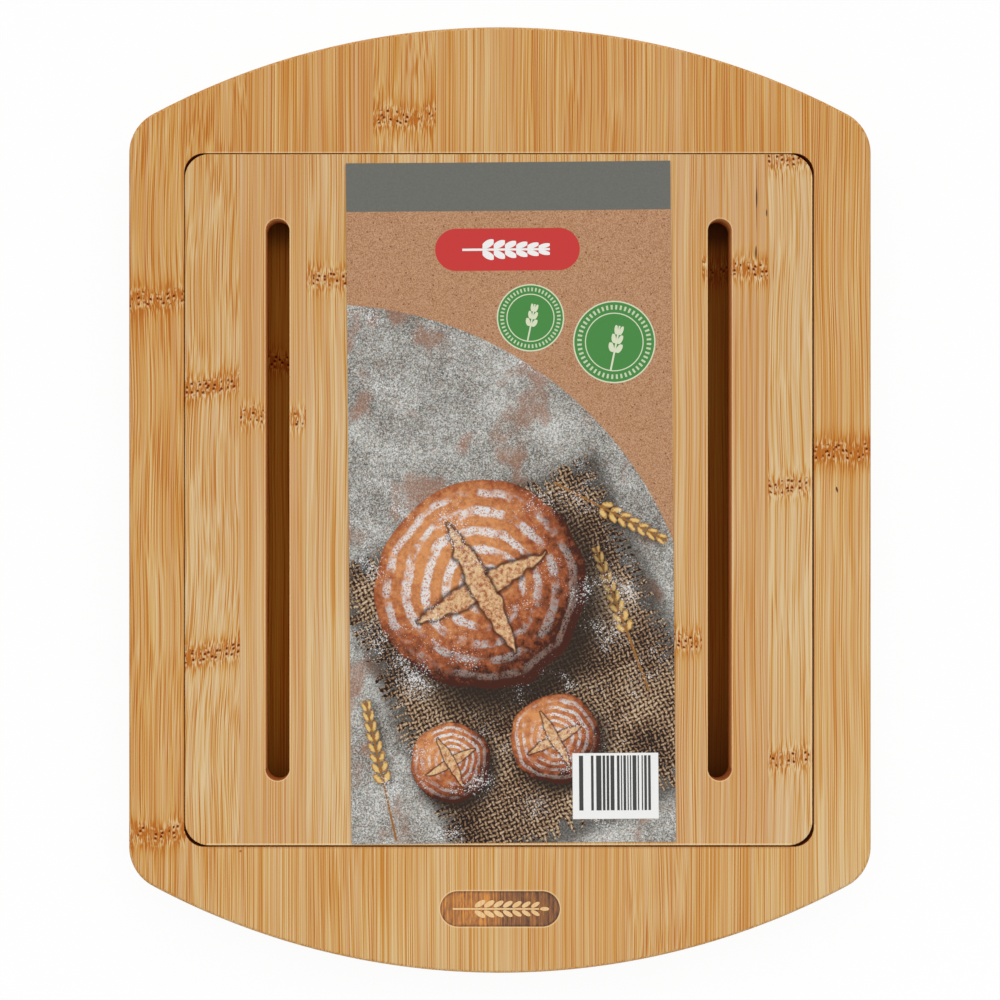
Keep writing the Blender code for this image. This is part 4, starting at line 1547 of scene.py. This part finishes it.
def with_ear(b, colour, u, v, middle, degrees, length):
    """A golden ear of wheat and its shadow."""
    s, t = turned(u, v, middle, degrees)
    fallen = box(s - 0.8, t + 0.8, (0.0, length / 2), (EAR_HALF, length / 2), 2.0)
    colour = shade(b, colour, fallen, 2.5, 0.6)
    ear, reach = wheat(s, t, length, EAR_PITCH)
    edge_share = reach + (b.noise(u / 0.8, v / 0.8, 0.5) - 0.5) * 0.8
    return b.mix(ear, colour, b.mix(edge_share.rise(0.35, 1.05), WHEAT_GOLD, WHEAT_BROWN))


def picture(b, u, v):
    """The whole picture, from the slate up to the flour."""
    colour = with_cloth(b, slate(b, u, v), u, v)
    for ear in EARS:
        colour = with_ear(b, colour, u, v, *ear)
    for middle, radius in LOAVES:
        fallen = disc(u, v, (middle[0] + radius * 0.14, middle[1] - radius * 0.16), radius)
        colour = shade(b, colour, fallen, radius * 0.28, 0.94)
    crust, edge_distance = loaf(b, u, v)
    colour = b.mix(inside(edge_distance, 0.25), colour, crust)
    flour = b.noise(u / 0.5, v / 0.5, 6.5, 1) + (b.noise(u / 13, v / 13, 2.5, 2) - 0.5) * 0.9
    return b.mix(flour.rise(0.70, 0.82) * 0.85, colour, FLOUR_WHITE)


print(f"a picture of {len(LOAVES)} loaves and {len(EARS)} ears on sacking")

# %% [markdown]
# Over the picture come the kraft paper, cut along one plain arc, the grey band where the card would
# be folded over, the red label, the roundels, and a white panel with uneven stripes.

# %% What is printed over the picture
BAND_DARK, BAND_PALE = paint(99, 99, 94), paint(113, 113, 107)
LABEL_RED, ROUNDEL_GREEN = paint(196, 58, 56), paint(72, 134, 68)
ROUNDEL_PALE, PRINT_WHITE, PRINT_BLACK = paint(214, 219, 190), paint(236, 236, 234), paint(32, 30, 30)
BAND_FROM = 117.0
ARC_MIDDLE, ARC_RADIUS = (-75.0, -70.0), 150.0
LABEL_MIDDLE, LABEL_HALF = (-0.5, 101.5), (29.0, 8.5)
LABEL_EAR_FOOT = -10.0
LABEL_EAR = (27.0, 4.5, 1.1, 0.3)       # length, pitch, fatness and share of stem
ROUNDELS = (((42.0, 64.0), 16.5, 3.6), ((8.5, 74.0), 13.5, 3.0))
ROUNDEL_STROKES = 24            # in half a turn
ROUNDEL_LINE = 0.5              # millimetres of pale edge
STRIPE_MIDDLE, STRIPE_HALF, STRIPE_STEP = (41.0, -114.0), (17.2, 13.2), 0.52
BARS_MIDDLE, BARS_HALF = (41.0, -112.8), (14.6, 11.0)


def roundel(b, colour, u, v, middle, radius, pitch):
    """A green disc with a pale ring of short strokes and an ear of wheat in the middle."""
    distance = disc(u, v, middle, radius)
    colour = b.mix(inside(distance), colour, ROUNDEL_PALE)
    colour = b.mix(inside(distance + ROUNDEL_LINE), colour, ROUNDEL_GREEN)
    ring = abs(distance + radius * 0.30).rise(0.28, 0.12)
    turn = b.node("ShaderNodeMath", {"operation": "ARCTAN2"}, {0: v - middle[1], 1: u - middle[0]})
    strokes = abs((turn * (ROUNDEL_STROKES / math.pi)).part() - 0.5) < 0.22
    strokes = strokes * (abs(distance + radius * 0.155) < radius * 0.055)
    s, t = turned(u, v, (middle[0], middle[1] - radius * 0.25), -12)
    ear, _ = wheat(s, t, pitch * 3, pitch)
    return b.mix(ring.high(strokes * 0.8).high(ear), colour, ROUNDEL_PALE)


def label(b, colour, u, v):
    """A red label with a white ear of wheat."""
    colour = b.mix(inside(box(u, v, LABEL_MIDDLE, LABEL_HALF, LABEL_HALF[1])), colour, LABEL_RED)
    s, t = turned(u, v, (LABEL_MIDDLE[0] + LABEL_EAR_FOOT, LABEL_MIDDLE[1]), -90)
    ear, _ = wheat(s, t, *LABEL_EAR)
    return b.mix(ear, colour, PRINT_WHITE)


def stripes(b, colour, u, v):
    """A white panel with bars of uneven width."""
    colour = b.mix(inside(box(u, v, STRIPE_MIDDLE, STRIPE_HALF)), colour, PRINT_WHITE)
    which = {"W": (u / STRIPE_STEP).whole() + 0.5}
    chance = b.node("ShaderNodeTexWhiteNoise", {"noise_dimensions": "1D"}, which, "Value")
    bars = (chance > 0.48) * inside(box(u, v, BARS_MIDDLE, BARS_HALF), 0.08)
    return b.mix(bars * 0.95, colour, PRINT_BLACK)


print(f"{len(ROUNDELS)} roundels, and stripes in steps of {STRIPE_STEP} mm")

# %% [markdown]
# The print is a thin layer of ink, so the card's surface is one semi-matt paper with the tooth of
# uncoated board. At its edges and back the plain board shows, a pale grey-brown pulp.

# %% The card's two materials
CARD_GLOSS = 0.12
STOCK_DARK, STOCK_PALE = paint(190, 172, 148), paint(214, 200, 180)


def card_print():
    """The printed face."""
    b = Bench("card print")
    here = b.node("ShaderNodeTexCoord", output="Object")
    placing = {"Vector": here, "Location": (*card_middle, 0.0), "Rotation": (0.0, 0.0, CARD_TURN),
               "Scale": (MM, MM, MM)}
    u, v, _ = b.split(b.node("ShaderNodeMapping", {"vector_type": "TEXTURE"}, placing))
    shown = disc(u, v, ARC_MIDDLE, ARC_RADIUS).low(v - ARC_MIDDLE[1])
    colour = b.mix(inside(shown), kraft(b, u, v), picture(b, u, v))
    grey = b.mix(b.noise(u / 0.6, v / 0.6, 0.5, 1), BAND_DARK, BAND_PALE)
    colour = b.mix(v.rise(BAND_FROM - 0.1, BAND_FROM + 0.1), colour, grey)
    colour = label(b, colour, u, v)
    for middle, radius, pitch in ROUNDELS:
        colour = roundel(b, colour, u, v, middle, radius, pitch)
    colour = stripes(b, colour, u, v)
    tooth = b.noise(u / 0.4, v / 0.4, 0.5, 1)
    gloss = {"Specular IOR Level": CARD_GLOSS}
    return b.surface(colour, 0.55 + tooth * 0.12, tooth, 0.01 * MM, **gloss)


def card_stock():
    """The plain board at the card's edges and back."""
    b = Bench("card stock")
    x, y, z = b.place()
    pulp = b.noise(x / 0.7, y / 0.7, z / 0.7, 2, 0.7)
    colour = b.mix(pulp.rise(0.25, 0.75), STOCK_DARK, STOCK_PALE)
    return b.surface(colour, 0.75 + pulp * 0.1, pulp, 0.02 * MM)


card = bent_card("printed_card", card_print(), card_stock())
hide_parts("label_card")
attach(card, "card")
print_nodes = card.data.materials[0].node_tree.nodes
print(f"card: {len(card.data.polygons)} faces, {len(print_nodes)} nodes in its print")

# %% [markdown]
# ## The size
#
# The dressed board must keep the size of the measured one. Both boxes are printed side by side.

# %% Print the sizes
low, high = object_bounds()
sizes = {"cad": [list(cad_low), list(cad_high)], "visual": [list(low), list(high)]}
for name, (lowest, highest) in sizes.items():
    print(name, [round(value / MM, 2) for value in (*lowest, *highest)])
